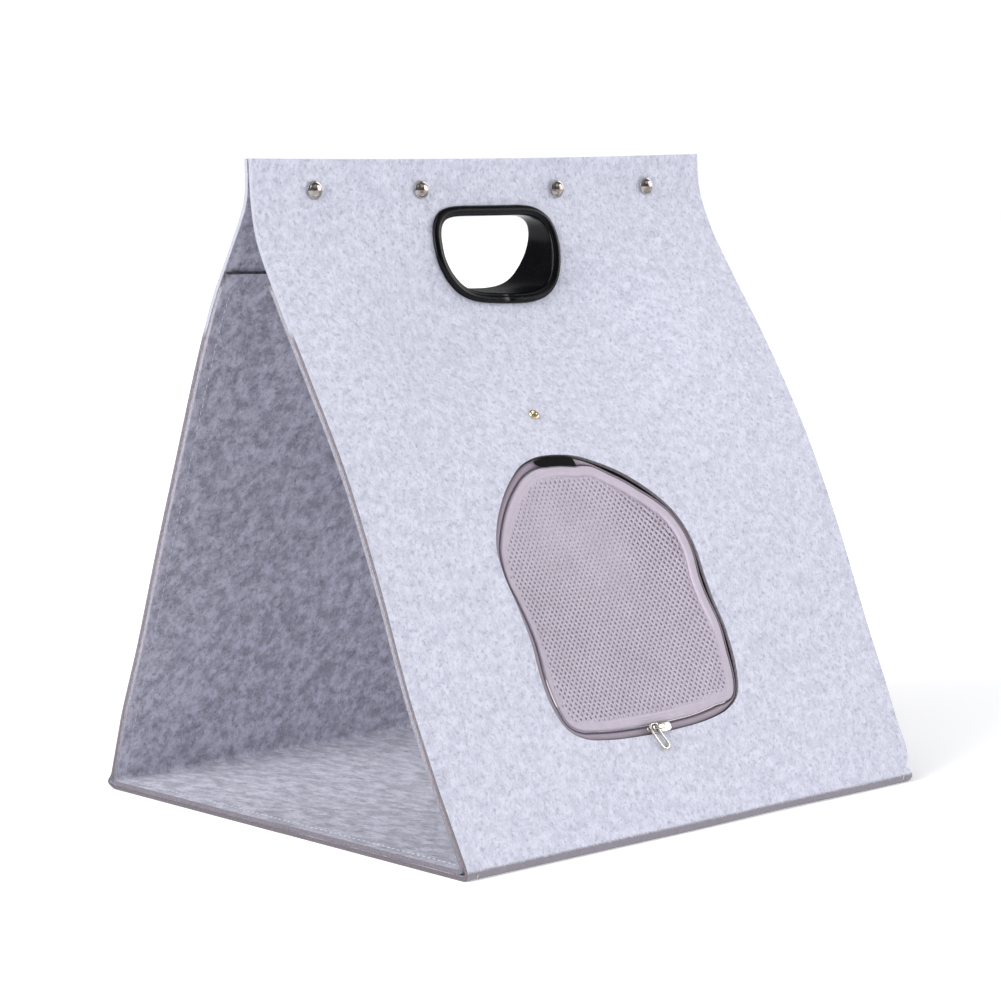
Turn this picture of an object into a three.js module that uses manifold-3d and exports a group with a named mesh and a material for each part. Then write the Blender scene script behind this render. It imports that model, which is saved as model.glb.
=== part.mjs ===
// Foldable felt pet tent: one felt strip folded into an A-frame, a second strip sewn inside it,
// a moulded hand grip through both walls, rivets along the ridge and a zipped mesh door.
// Millimetres, +Z up, X along the ridge, the door in the wall at -Y.
import * as THREE from 'three';
import { mergeVertices } from 'three/addons/utils/BufferGeometryUtils.js';
import Module from 'manifold-3d';

// Overall size and cloth
const HALF_WIDTH = 200;
const HEIGHT = 438;
const RIDGE_SAG = 1.5;
const FELT = 3.0;
const LAYER_GAP = 0.45;
const MIN_HALF_GAP = 3.2;
const SHIFT_Y = 7.465;

// Wall outlines, as the outer face's distance from the ridge plane at each height
const KNOT_Z = [0, 51.7, 107.7, 175, 241, 306, 350, 385, 411.5, 438];
const FRONT_LEFT = [207.0, 178.7, 151.3, 125.1, 94.7, 55.9, 29.2, 10.0, 4.2, 3.2];
const FRONT_RIGHT = [207.5, 189.2, 166.2, 139.4, 108.4, 69.6, 39.5, 16.9, 5.6, 3.2];
const BACK_WALL = [193.0, 174.6, 149.5, 122.0, 93.7, 65.7, 44.0, 21.2, 5.7, 3.2];
const BASE_Z = 51.7;
const FRONT_FOLD_R = 5.0;
const BACK_FOLD_R = 6.0;
const INNER_FOLD_R = 4.8;

// Hand grip
const GRIP_X = -3.5;
const GRIP_Z = 372;
const GRIP_RIM = 7.4;
const GRIP_WALL = 2.2;
const GRIP_STEPS = 44;
const PULL_IN = 24;
const PULL_FRONT = { z: 330, above: 36, below: 79 };
const PULL_BACK = { z: 352, above: 46, below: 76 };

// Ridge rivets
const RIVETS = [[-150.8, 417.2], [-61.6, 416], [59.8, 414.6], [145.4, 415.2]];
const RIVET_R = 6.1;
const RIVET_POST_R = 2.0;
const POST_PLAY = 0.4;

// Door
const DOOR = [
  [-26, 239.8], [-8.9, 237.6], [5, 232.8], [19.5, 226.3], [32, 218.4], [43, 209.6], [54, 197.6],
  [60.5, 184], [63.2, 170], [63.6, 155], [65.4, 138], [68.8, 120.7], [69.2, 104], [66.8, 88],
  [61.5, 76.5], [50, 69.2], [28.5, 64.6], [0, 62.6], [-30, 62.2], [-60, 63.6], [-78, 67],
  [-89, 74.5], [-94.8, 88], [-96.8, 104], [-96.4, 126.5], [-99.6, 150], [-103.4, 170],
  [-103.2, 186], [-96.8, 201], [-86, 215], [-73, 226.5], [-58, 235.5], [-43.4, 239.4],
];
const STUD_X = -26.8;
const STUD_Z = 265.3;
const STUD_HOLE_R = 2.75;
const SLIDER_X = -15;

const gauss = (x, c, w) => Math.exp(-(((x - c) / w) ** 2));
const pullAt = (pull, z) => gauss(z, pull.z, z > pull.z ? pull.above : pull.below);
const clamp = (v, lo, hi) => Math.min(hi, Math.max(lo, v));

function tangents(ys) {
  return ys.map((_, i) => {
    if (i === 0) return (ys[1] - ys[0]) / (KNOT_Z[1] - KNOT_Z[0]);
    if (i === ys.length - 1) return 0.3 * (ys[i] - ys[i - 1]) / (KNOT_Z[i] - KNOT_Z[i - 1]);
    return (ys[i + 1] - ys[i - 1]) / (KNOT_Z[i + 1] - KNOT_Z[i - 1]);
  });
}

function curve(ys) {
  const m = tangents(ys);
  return (zIn) => {
    const z = clamp(zIn, KNOT_Z[0], KNOT_Z[KNOT_Z.length - 1]);
    let i = 0;
    while (i < ys.length - 2 && z > KNOT_Z[i + 1]) i += 1;
    const h = KNOT_Z[i + 1] - KNOT_Z[i];
    const t = (z - KNOT_Z[i]) / h;
    const a = 2 * t ** 3 - 3 * t ** 2 + 1;
    const b = t ** 3 - 2 * t ** 2 + t;
    const c = -2 * t ** 3 + 3 * t ** 2;
    const e = t ** 3 - t ** 2;
    return a * ys[i] + b * h * m[i] + c * ys[i + 1] + e * h * m[i + 1];
  };
}

const frontLeft = curve(FRONT_LEFT);
const frontRight = curve(FRONT_RIGHT);
const backWall = curve(BACK_WALL);

// The walls never cross the ridge plane
function keepOpen(v) {
  const w = v - MIN_HALF_GAP;
  return MIN_HALF_GAP + 0.5 * (w + Math.sqrt(w * w + 1));
}

// The grip draws both walls together, so each dishes inwards round it
const sideways = (x) => Math.exp(-(((x - GRIP_X) / 115) ** 4));

function frontY(x, z) {
  const t = clamp((x + HALF_WIDTH) / (2 * HALF_WIDTH), 0, 1);
  const open = frontLeft(z) * (1 - t) + frontRight(z) * t;
  return -keepOpen(open - PULL_IN * sideways(x) * pullAt(PULL_FRONT, z));
}

function backY(x, z) {
  return keepOpen(backWall(z) - 1.08 * PULL_IN * sideways(x) * pullAt(PULL_BACK, z));
}

const topZ = (x) => HEIGHT - RIDGE_SAG + RIDGE_SAG * ((x - 15) / 190) ** 2;

// Unit step into the tent, square to the wall, in the YZ plane
function inward(surface, x, z, side) {
  const s = (surface(x, z + 0.5) - surface(x, z - 0.5));
  const n = Math.hypot(1, s);
  return side < 0 ? [1 / n, -s / n] : [-1 / n, s / n];
}

// Heights where both strips have a row of points. The inner strip starts at row INNER_ROW.
const ROW_Z = [0, 430, 421, 411, 401, 392, 383, 375, 366, 360, 350, 340, 328, 314, 298, 280,
  259, 236, 210, 180, 148, 115, 83, BASE_Z];
const INNER_ROW = 9;
const INNER_TOP_FRONT = 359.6;
const INNER_TOP_BACK = 364.4;
const STRAIGHT = [0.35, 0.62, 0.8, 0.875, 0.93, 0.97];
const FOLD_STEPS = 6;
const FLOOR_STEPS = 7;
const COLUMNS = [-200, -186, -152, -121, -95, -72, -50, -25, 0, 25, 50, 72, 95, 121, 152, 186,
  200];

function rowHeight(i, x, side) {
  if (i === 0) return topZ(x);
  if (i === INNER_ROW) {
    if (side < 0) return INNER_TOP_FRONT + 0.9 * Math.sin(x / 55);
    return INNER_TOP_BACK + 1.6 * gauss(x, -200, 45) + 0.8 * Math.sin(x / 70 + 1);
  }
  if (i === INNER_ROW - 1) return side < 0 ? 367 : 371;
  if (i === INNER_ROW - 2) return side < 0 ? 375 : 377.5;
  return ROW_Z[i];
}

// One wall and its fold, from the top row down to the floor, as [y, z] points
function wallRows(x, side, offset, radius, firstRow) {
  const surface = side < 0 ? frontY : backY;
  const rows = [];
  for (let i = firstRow; i < ROW_Z.length; i += 1) {
    const z = rowHeight(i, x, side);
    const [ny, nz] = inward(surface, x, z, side);
    rows.push([surface(x, z) + ny * offset, z + nz * offset]);
  }
  // Below BASE_Z the wall is straight and ends in a rounded fold on the floor line
  const y1 = surface(x, BASE_Z);
  const y0 = surface(x, 0);
  const run = Math.hypot(y0 - y1, BASE_Z);
  const dir = [(y0 - y1) / run, -BASE_Z / run];
  const nrm = side < 0 ? [-dir[1], dir[0]] : [dir[1], -dir[0]];
  const start = rows[rows.length - 1];
  const corner = [y0 + nrm[0] * offset, nrm[1] * offset];
  const k = (offset - corner[1]) / dir[1];
  const c = [corner[0] + dir[0] * k, offset];
  const inside = side < 0 ? 1 : -1;
  const angle = Math.acos(clamp(-dir[0] * inside, -1, 1));
  const reach = radius / Math.tan(angle / 2);
  const from = [c[0] - dir[0] * reach, c[1] - dir[1] * reach];
  for (const t of STRAIGHT) {
    rows.push([start[0] + (from[0] - start[0]) * t, start[1] + (from[1] - start[1]) * t]);
  }
  const centre = [c[0] + inside * reach, offset + radius];
  const a0 = Math.atan2(from[1] - centre[1], (from[0] - centre[0]) * inside);
  const start0 = a0 < 0 ? a0 + 2 * Math.PI : a0;
  const end0 = 1.5 * Math.PI;
  for (let i = 0; i <= FOLD_STEPS; i += 1) {
    const a = start0 + (end0 - start0) * (i / FOLD_STEPS);
    rows.push([centre[0] + inside * radius * Math.cos(a), centre[1] + radius * Math.sin(a)]);
  }
  return rows;
}

// The whole strip at one x: front wall, floor, back wall
function stripRows(x, offset, foldRadii, firstRow) {
  const front = wallRows(x, -1, offset, foldRadii[0](x), firstRow);
  const back = wallRows(x, 1, offset, foldRadii[1](x), firstRow).reverse();
  const a = front[front.length - 1];
  const b = back[0];
  const floor = [];
  for (let i = 1; i < FLOOR_STEPS; i += 1) {
    const t = i / FLOOR_STEPS;
    floor.push([a[0] + (b[0] - a[0]) * t, offset]);
  }
  return [...front, ...floor, ...back];
}

// Cut edge of a strip: level with the ridge ends. On the right it bulges low down and is nicked
// where it folds. On the left it stands out at the back fold.
const EAR_Z = 5;
const NICK_Z = 12;
const BULGE_Z = 26;
function edgeX(x, [y, z], swell) {
  if (Math.abs(x) < HALF_WIDTH) return x;
  const ear = gauss(z, EAR_Z, 3.2);
  if (x < 0) return -HALF_WIDTH - swell * (y > 0 ? 1.1 : 0.15) * ear;
  const nick = -1.1 * gauss(z, NICK_Z, 2.6);
  const bulge = 1.1 * gauss(z, BULGE_Z, 11);
  return HALF_WIDTH + swell * (0.5 * ear + nick + bulge);
}

function sheet(outerAt, innerAt, cols, rows) {
  const verts = [];
  for (let f = 0; f < 2; f += 1) {
    for (let j = 0; j < cols; j += 1) {
      for (let i = 0; i < rows; i += 1) verts.push((f === 0 ? outerAt : innerAt)(j, i));
    }
  }
  const id = (f, j, i) => f * cols * rows + j * rows + i;
  const tris = [];
  const quad = (a, b, c, e) => tris.push([a, b, c], [a, c, e]);
  for (let j = 0; j < cols - 1; j += 1) {
    for (let i = 0; i < rows - 1; i += 1) {
      quad(id(0, j, i), id(0, j, i + 1), id(0, j + 1, i + 1), id(0, j + 1, i));
      quad(id(1, j, i), id(1, j + 1, i), id(1, j + 1, i + 1), id(1, j, i + 1));
    }
    quad(id(0, j, 0), id(0, j + 1, 0), id(1, j + 1, 0), id(1, j, 0));
    quad(id(0, j, rows - 1), id(1, j, rows - 1), id(1, j + 1, rows - 1), id(0, j + 1, rows - 1));
  }
  for (let i = 0; i < rows - 1; i += 1) {
    quad(id(0, 0, i), id(1, 0, i), id(1, 0, i + 1), id(0, 0, i + 1));
    quad(id(0, cols - 1, i), id(0, cols - 1, i + 1), id(1, cols - 1, i + 1), id(1, cols - 1, i));
  }
  return facingOut(verts, tris);
}

function facingOut(verts, tris) {
  let volume = 0;
  for (const [a, b, c] of tris) {
    const [p, q, r] = [verts[a], verts[b], verts[c]];
    volume += p[0] * (q[1] * r[2] - q[2] * r[1]) - p[1] * (q[0] * r[2] - q[2] * r[0])
      + p[2] * (q[0] * r[1] - q[1] * r[0]);
  }
  return { verts, tris: volume < 0 ? tris.map(([a, b, c]) => [a, c, b]) : tris };
}

const wasm = await Module();
wasm.setup();

function solid({ verts, tris }) {
  const mesh = new wasm.Mesh({
    numProp: 3,
    vertProperties: new Float32Array(verts.flat()),
    triVerts: new Uint32Array(tris.flat()),
  });
  return new wasm.Manifold(mesh);
}

function solidOf(geometry) {
  const g = geometry.clone();
  g.deleteAttribute('normal');
  g.deleteAttribute('uv');
  const m = mergeVertices(g, 1e-4);
  const mesh = new wasm.Mesh({
    numProp: 3,
    vertProperties: new Float32Array(m.attributes.position.array),
    triVerts: new Uint32Array(m.index.array),
  });
  return new wasm.Manifold(mesh);
}

function geometryOf(manifold) {
  const mesh = manifold.getMesh();
  const geometry = new THREE.BufferGeometry();
  const n = mesh.numProp;
  const flat = new Float32Array((mesh.vertProperties.length / n) * 3);
  for (let i = 0; i < flat.length / 3; i += 1) {
    for (let k = 0; k < 3; k += 1) flat[3 * i + k] = mesh.vertProperties[n * i + k];
  }
  geometry.setAttribute('position', new THREE.BufferAttribute(flat, 3));
  geometry.setIndex(Array.from(mesh.triVerts));
  geometry.computeVertexNormals();
  return geometry;
}

// Closed outlines in the wall's own x and z
function smoothLoop(points, count) {
  const path = new THREE.CatmullRomCurve3(points.map(([x, z]) => new THREE.Vector3(x, z, 0)),
    true, 'centripetal');
  return path.getSpacedPoints(count).slice(0, count).map((p) => [p.x, p.y]);
}

function loopNormals(loop) {
  let area = 0;
  loop.forEach(([x, z], i) => {
    const [x2, z2] = loop[(i + 1) % loop.length];
    area += x * z2 - x2 * z;
  });
  const s = Math.sign(area);
  return loop.map((_, i) => {
    const a = loop[(i + loop.length - 1) % loop.length];
    const b = loop[(i + 1) % loop.length];
    const t = [b[0] - a[0], b[1] - a[1]];
    const n = Math.hypot(t[0], t[1]);
    return [s * t[1] / n, -s * t[0] / n];
  });
}

function grow(loop, by) {
  const normals = loopNormals(loop);
  return loop.map(([x, z], i) => [x + normals[i][0] * by, z + normals[i][1] * by]);
}

// A cutter that follows the loop and runs from near(x, z) to far(x, z)
function prism(outline, near, far) {
  const turn = THREE.ShapeUtils.area(outline.map(([x, z]) => new THREE.Vector2(x, z)));
  const loop = turn < 0 ? outline.slice().reverse() : outline;
  const n = loop.length;
  const verts = [...loop.map(([x, z]) => near(x, z)), ...loop.map(([x, z]) => far(x, z))];
  const flat = loop.map(([x, z]) => new THREE.Vector2(x, z));
  const caps = THREE.ShapeUtils.triangulateShape(flat, []);
  const tris = [];
  for (const [a, b, c] of caps) {
    tris.push([a, b, c]);
    tris.push([n + c, n + b, n + a]);
  }
  for (let i = 0; i < n; i += 1) {
    const j = (i + 1) % n;
    tris.push([j, i, n + i], [j, n + i, n + j]);
  }
  return solid(facingOut(verts, tris));
}

// Outward unit vector of the door wall at x, z
function frontNormal(x, z) {
  const dx = frontY(x + 1, z) - frontY(x - 1, z);
  const dz = frontY(x, z + 1) - frontY(x, z - 1);
  return new THREE.Vector3(dx / 2, -1, dz / 2).normalize();
}

function onFront(x, z, height) {
  const n = frontNormal(x, z);
  return [x + n.x * height, frontY(x, z) + n.y * height, z + n.z * height];
}

// Door plane: one shared direction keeps the cut edge square to the felt
const DOOR_OUT = frontNormal(-17, 150);
const doorPrism = (loop) => prism(loop,
  (x, z) => [x - DOOR_OUT.x * 13, frontY(x, z) - DOOR_OUT.y * 13, z - DOOR_OUT.z * 13],
  (x, z) => [x + DOOR_OUT.x * 7, frontY(x, z) + DOOR_OUT.y * 7, z + DOOR_OUT.z * 7]);
const DOOR_STEPS = 56;
const doorCut = (by) => doorPrism(grow(smoothLoop(DOOR, DOOR_STEPS), by));

const GRIP_HALF = [[0, 33], [20, 33], [33, 32.7], [44, 30], [51.5, 23.5], [55.8, 14], [57, 3],
  [54.7, -7.8], [49.8, -17.6], [42, -26.2], [31.5, -32.2], [18.5, -34.4]];
const GRIP = [
  ...GRIP_HALF,
  [0, -34.6],
  ...GRIP_HALF.slice(1).reverse().map(([x, z]) => [-x, z]),
].map(([x, z]) => [x + GRIP_X, z + GRIP_Z]);
const gripCut = prism(grow(smoothLoop(GRIP, GRIP_STEPS - 4), GRIP_WALL - GRIP_RIM + 0.5),
  (x, z) => [x, -90, z], (x, z) => [x, 90, z]);

function postHole(x, z) {
  const g = new THREE.CylinderGeometry(RIVET_POST_R + POST_PLAY, RIVET_POST_R + POST_PLAY, 40, 14);
  g.translate(x, 0, z);
  return solidOf(g);
}

const studAxis = frontNormal(STUD_X, STUD_Z);
function studHole() {
  const g = new THREE.CylinderGeometry(STUD_HOLE_R, STUD_HOLE_R, 40, 14);
  const q = new THREE.Quaternion().setFromUnitVectors(new THREE.Vector3(0, 1, 0), studAxis);
  g.applyQuaternion(q);
  g.translate(STUD_X, frontY(STUD_X, STUD_Z), STUD_Z);
  return solidOf(g);
}

const group = new THREE.Group();

function add(name, geometry, colour, roughness, metalness) {
  geometry.translate(0, SHIFT_Y, 0);
  geometry.deleteAttribute('uv');
  const material = new THREE.MeshStandardMaterial({ color: colour, roughness, metalness });
  const mesh = new THREE.Mesh(geometry, material);
  mesh.name = name;
  group.add(mesh);
}

// Outer felt strip: door wall, floor and back wall cut in one piece
const frontFold = (x) => FRONT_FOLD_R + 1.3 * gauss(x, 80, 45) - 0.6 * gauss(x, -20, 50);
const outerRadii = [frontFold, () => BACK_FOLD_R];
const outerInnerRadii = [(x) => frontFold(x) - FELT, () => BACK_FOLD_R - FELT];
const outerFace = COLUMNS.map((x) => stripRows(x, 0, outerRadii, 0));
const outerBack = COLUMNS.map((x) => stripRows(x, FELT, outerInnerRadii, 0));
const outerSheet = sheet(
  (j, i) => [edgeX(COLUMNS[j], outerFace[j][i], 2.2), ...outerFace[j][i]],
  (j, i) => [edgeX(COLUMNS[j], outerFace[j][i], 2.2), ...outerBack[j][i]],
  COLUMNS.length,
  outerFace[0].length,
);
let outerFelt = solid(outerSheet).subtract(gripCut).subtract(doorCut(0));
for (const [x, z] of RIVETS) outerFelt = outerFelt.subtract(postHole(x, z));
outerFelt = outerFelt.subtract(studHole());
add('outer_felt', geometryOf(outerFelt), 0xd4d5e0, 0.95, 0);

// Inner felt strip: the same width, sewn inside along both side edges, its top below the grip
const innerNear = FELT + LAYER_GAP;
const innerFar = 2 * FELT + LAYER_GAP;
const innerRadii = [() => INNER_FOLD_R, () => INNER_FOLD_R + 0.8];
const innerInnerRadii = [() => INNER_FOLD_R - FELT, () => INNER_FOLD_R + 0.8 - FELT];
const innerFace = COLUMNS.map((x) => stripRows(x, innerNear, innerRadii, INNER_ROW));
const innerBack = COLUMNS.map((x) => stripRows(x, innerFar, innerInnerRadii, INNER_ROW));
const innerSheet = sheet(
  (j, i) => [edgeX(COLUMNS[j], innerFace[j][i], 1.4) * 0.9985, ...innerFace[j][i]],
  (j, i) => [edgeX(COLUMNS[j], innerFace[j][i], 1.4) * 0.9985, ...innerBack[j][i]],
  COLUMNS.length,
  innerFace[0].length,
);
const innerFelt = solid(innerSheet).subtract(gripCut).subtract(doorCut(9)).subtract(studHole());
add('inner_felt', geometryOf(innerFelt), 0xc9cad6, 0.95, 0);

// Hand grip: a black moulded sleeve with a rolled rim on each wall, following both walls
const rimShape = [[GRIP_RIM, 0.75], [7.2, 1.9], [6.2, 2.9], [4.6, 3.5], [2.9, 3.5], [1.4, 2.9],
  [0.4, 1.8], [0, 0.3]];
const gripSection = [
  ...rimShape.map(([r, h]) => [r, -1, h]),
  ...rimShape.slice().reverse().map(([r, h]) => [r, 1, h]),
  [GRIP_WALL, 1, 0.75],
  [GRIP_WALL, -1, 0.75],
];
const gripLoop = smoothLoop(GRIP, GRIP_STEPS);
const gripNormals = loopNormals(gripLoop);
function gripPoint(i, k) {
  const [r, side, h] = gripSection[k];
  const x = gripLoop[i][0] - gripNormals[i][0] * (GRIP_RIM - r);
  const z = gripLoop[i][1] - gripNormals[i][1] * (GRIP_RIM - r);
  return [x, side < 0 ? frontY(x, z) - h : backY(x, z) + h, z];
}
function sweptLoop(count, size, at) {
  const verts = [];
  for (let i = 0; i < count; i += 1) {
    for (let k = 0; k < size; k += 1) verts.push(at(i, k));
  }
  const tris = [];
  for (let i = 0; i < count; i += 1) {
    const n = (i + 1) % count;
    for (let k = 0; k < size; k += 1) {
      const m = (k + 1) % size;
      const [a, b, c, e] = [i * size + k, n * size + k, n * size + m, i * size + m];
      tris.push([a, b, c], [a, c, e]);
    }
  }
  return facingOut(verts, tris);
}
const gripSweep = sweptLoop(GRIP_STEPS, gripSection.length, gripPoint);
add('hand_grip', geometryOf(solid(gripSweep)), 0x15151a, 0.3, 0);

// Domed rivets through both walls along the ridge
function dome(radius, height, y, outwardSign) {
  return [[0, 1], [0.36, 0.93], [0.68, 0.68], [0.92, 0.3], [1, 0]]
    .map(([r, h]) => new THREE.Vector2(r * radius, y + outwardSign * h * height));
}
RIVETS.forEach(([x, z], i) => {
  const under = z - RIVET_R;
  const yFront = Math.min(frontY(x - 5, under), frontY(x + 5, under)) - 0.35;
  const yBack = Math.max(backY(x - 5, under), backY(x + 5, under)) + 0.35;
  const profile = [
    ...dome(RIVET_R, 3.2, yFront, -1),
    new THREE.Vector2(RIVET_POST_R, yFront),
    new THREE.Vector2(RIVET_POST_R, yBack),
    ...dome(RIVET_R * 0.9, 1.8, yBack, 1).reverse(),
  ];
  const g = new THREE.LatheGeometry(profile, 13);
  g.translate(x, 0, z);
  add(`ridge_rivet_${i + 1}`, geometryOf(solidOf(g)), 0xc8c6c4, 0.2, 1);
});

// Small eyelet stud above the door, through both felts
const studProfile = [[1.5, 1.7], [1.5, -7.7], [4.0, -7.7], [4.0, -6.95], [2.3, -6.9], [2.3, 0.4],
  [3.9, 0.45], [3.5, 1.3], [2.6, 1.9], [1.5, 1.7]].map(([r, y]) => new THREE.Vector2(r, y));
const stud = new THREE.LatheGeometry(studProfile, 14);
stud.applyQuaternion(new THREE.Quaternion().setFromUnitVectors(new THREE.Vector3(0, 1, 0), studAxis));
stud.translate(STUD_X, frontY(STUD_X, STUD_Z), STUD_Z);
add('door_stud', geometryOf(solidOf(stud)), 0xc9b58f, 0.3, 1);

// Door fittings are placed by their distance inside the felt's cut edge and their height over
// the felt's outer face
const doorLoop = smoothLoop(DOOR, DOOR_STEPS);
const doorNormals = loopNormals(doorLoop);
function ringPoint(i, inset, height) {
  const x = doorLoop[i][0] - doorNormals[i][0] * inset;
  const z = doorLoop[i][1] - doorNormals[i][1] * inset;
  return onFront(x, z, height);
}

// Black backing tape behind the felt's edge
const backing = [[-6.5, -3.6], [3.4, -3.6], [3.4, -4.4], [-6.5, -4.4]];
const backingTape = sweptLoop(DOOR_STEPS, 4, (i, k) => ringPoint(i, ...backing[k]));
add('door_backing', geometryOf(solid(backingTape)), 0x101014, 0.8, 0);

// Zip band. It shrinks back from the felt at the upper right and beside the right, and shows its
// full width only along the left, the upper left and the bottom.
const near = ([x, z], cx, cz, w) => Math.exp(-(((x - cx) ** 2 + (z - cz) ** 2) / (w * w)));
function zipSlip(i) {
  const p = doorLoop[i];
  return 0.5 + Math.min(2.4, 3.0 * near(p, 26, 223, 25) + 2.0 * near(p, 65, 150, 17)
    + 1.9 * near(p, 66, 105, 18));
}
function zipShows(i) {
  const p = doorLoop[i];
  const from = 45 - 57 * clamp((p[1] - 150) / 55, 0, 1);
  const right = 0.8 * clamp((p[0] - from) / 14, 0, 1);
  return 1 - right - 0.65 * near(p, -102, 166, 22) - 0.25 * near(p, -84, 70, 14);
}
const ZIP_WIDTH = 5.4;
const zipSection = [[0, -3.2], [0, -2.3], [0.6, -1.9], [2, -1.7], [3.4, -1.9], [4, -2.7],
  [ZIP_WIDTH, -2.7], [ZIP_WIDTH, -3.2]];
const zipBand = sweptLoop(DOOR_STEPS, 8, (i, k) => {
  const [inset, height] = zipSection[k];
  return ringPoint(i, zipSlip(i) + inset * zipShows(i), height);
});
add('door_zip', geometryOf(solid(zipBand)), 0xb3a8b4, 0.8, 0);

// Plain bound edge of the mesh, inside the zip band
const BINDING_WIDTH = 6;
const bindingGap = (i) => 0.5 + 0.6 * near(doorLoop[i], -92, 88, 24);
const bindingInset = (i) => zipSlip(i) + ZIP_WIDTH * zipShows(i) + bindingGap(i);
const bindingSection = [[0, -3.3], [0, -1.9], [0.2, -1.3], [0.8, -1.3], [1, -1.9], [1, -3.3]];
const meshBinding = sweptLoop(DOOR_STEPS, 6, (i, k) => {
  const [across, height] = bindingSection[k];
  return ringPoint(i, bindingInset(i) + across * BINDING_WIDTH, height);
});
add('mesh_binding', geometryOf(solid(meshBinding)), 0xb8adb9, 0.85, 0);

// Mesh door panel, slack enough to hang inwards in the middle
function panelDepth(x, z) {
  const r = Math.hypot((x + 15) / 82, (z - 150) / 84);
  return -3.0 - 7.0 * Math.max(0, 1 - r * r) * (1 + 0.25 * (x + 17) / 80 + 0.15 * (z - 150) / 84);
}
const PX = 10;
const PZ = 10;
const panelAt = (j, i, height) => {
  const x = -112 + (188 * j) / (PX - 1);
  const z = 54 + (192 * i) / (PZ - 1);
  return onFront(x, z, height + panelDepth(x, z));
};
const panelGrid = solid(sheet((j, i) => panelAt(j, i, 1.7), (j, i) => panelAt(j, i, 0), PX, PZ));
const panelLoop = doorLoop.map(([x, z], i) => {
  const inset = bindingInset(i) + BINDING_WIDTH + 0.6;
  return [x - doorNormals[i][0] * inset, z - doorNormals[i][1] * inset];
});
const meshDoor = panelGrid.intersect(doorPrism(panelLoop));
add('mesh_door', geometryOf(meshDoor), 0xaea4b0, 0.85, 0);

// Black tab over the top of the door, just inside the felt's edge
const TAB_FROM = -46.3;
const TAB_STEPS = 6;
const tabRows = [];
for (let i = 0; i <= TAB_STEPS; i += 1) {
  const x = TAB_FROM + (35.3 * i) / TAB_STEPS;
  const zEdge = 239.7 - 0.0055 * (x + 30) ** 2;
  tabRows.push([x, zEdge]);
}
const tabAt = (j, i, height) => {
  const [x, zEdge] = tabRows[j];
  const drop = i === 0 ? 0.9 : 7.2;
  return onFront(x + (i === 0 ? 0 : 0.8), zEdge - drop, height);
};
add('door_tab', geometryOf(solid(sheet((j, i) => tabAt(j, i, -0.1), (j, i) => tabAt(j, i, -1.2),
  TAB_STEPS + 1, 2))), 0x0e0e12, 0.6, 0);

// Zip slider astride the zip band at the bottom of the door, its pull hanging over the felt
const sliderZ = 65.3;
const sliderOut = frontNormal(SLIDER_X, sliderZ);
const sliderAlong = new THREE.Vector3(1, 0, 0).projectOnPlane(sliderOut).normalize();
const sliderUp = new THREE.Vector3().crossVectors(sliderAlong, sliderOut).negate();
const sliderAt = new THREE.Vector3(...onFront(SLIDER_X, sliderZ, 0));
function placed(geometry) {
  const m = new THREE.Matrix4().makeBasis(sliderAlong, sliderUp, sliderOut);
  m.setPosition(sliderAt);
  geometry.applyMatrix4(m);
  return geometry;
}
function plate(points, depth, z) {
  const shape = new THREE.Shape(points.map(([x, y]) => new THREE.Vector2(x, y)));
  const g = new THREE.ExtrudeGeometry(shape, { depth, bevelEnabled: false });
  g.translate(0, 0, z);
  return g;
}
const bodyOutline = [[-10, -1.6], [-7.5, -3.4], [1, -4], [9, -3.4], [10, -2.2], [10, 1.4],
  [8.5, 3], [1, 3.4], [-7.5, 2.8], [-10, 1.2]];
let slider = solidOf(placed(plate(bodyOutline, 1.5, 0.45)));
const core = [[-6, -1.6], [6, -1.6], [6, 2.2], [-6, 2.2]];
slider = slider.add(solidOf(placed(plate(core, 1.8, -1.15))));
const bridgeOutline = [[-6.5, 1.7], [-6.5, 3.6], [-5.4, 4.7], [-1.5, 4.9], [2.4, 3.8], [6, 1.7]];
const bridge = plate(bridgeOutline, 2.6, -1.3);
bridge.rotateX(Math.PI / 2);
slider = slider.add(solidOf(placed(bridge)));
const eye = plate([[-4.9, 2], [-4.9, 3.7], [-0.9, 3.7], [-0.9, 2]], 6, -3);
eye.rotateX(Math.PI / 2);
slider = slider.subtract(solidOf(placed(eye)));
add('zip_slider', geometryOf(slider), 0xc4bdae, 0.3, 1);

const pullOuter = [[-9, 3.4], [-9.4, -1.5], [-3.4, -14.8], [-0.6, -16], [3.2, -14.6],
  [3.9, -12.2], [-1.7, -1.5], [-2, 3.4]];
const pullInner = [[-7.6, 2.2], [-3.3, 2.2], [-3.2, -1.8], [1.9, -11.6], [1.2, -13],
  [-0.6, -13.6], [-1.9, -13], [-7.9, -1.9]];
const pullBlank = plate(pullOuter, 1, -0.5);
const pullWindow = plate(pullInner, 3, -1.5);
for (const g of [pullBlank, pullWindow]) {
  g.rotateX(0.07);
  g.translate(0, 0, 2.84);
  placed(g);
}
add('zip_pull', geometryOf(solidOf(pullBlank).subtract(solidOf(pullWindow))), 0xbdb6a8, 0.35, 1);

group.updateMatrixWorld(true);

export default group;
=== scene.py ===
import math
import random

import bmesh
import bpy
from mathutils import Matrix, Vector
from mathutils.kdtree import KDTree


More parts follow.
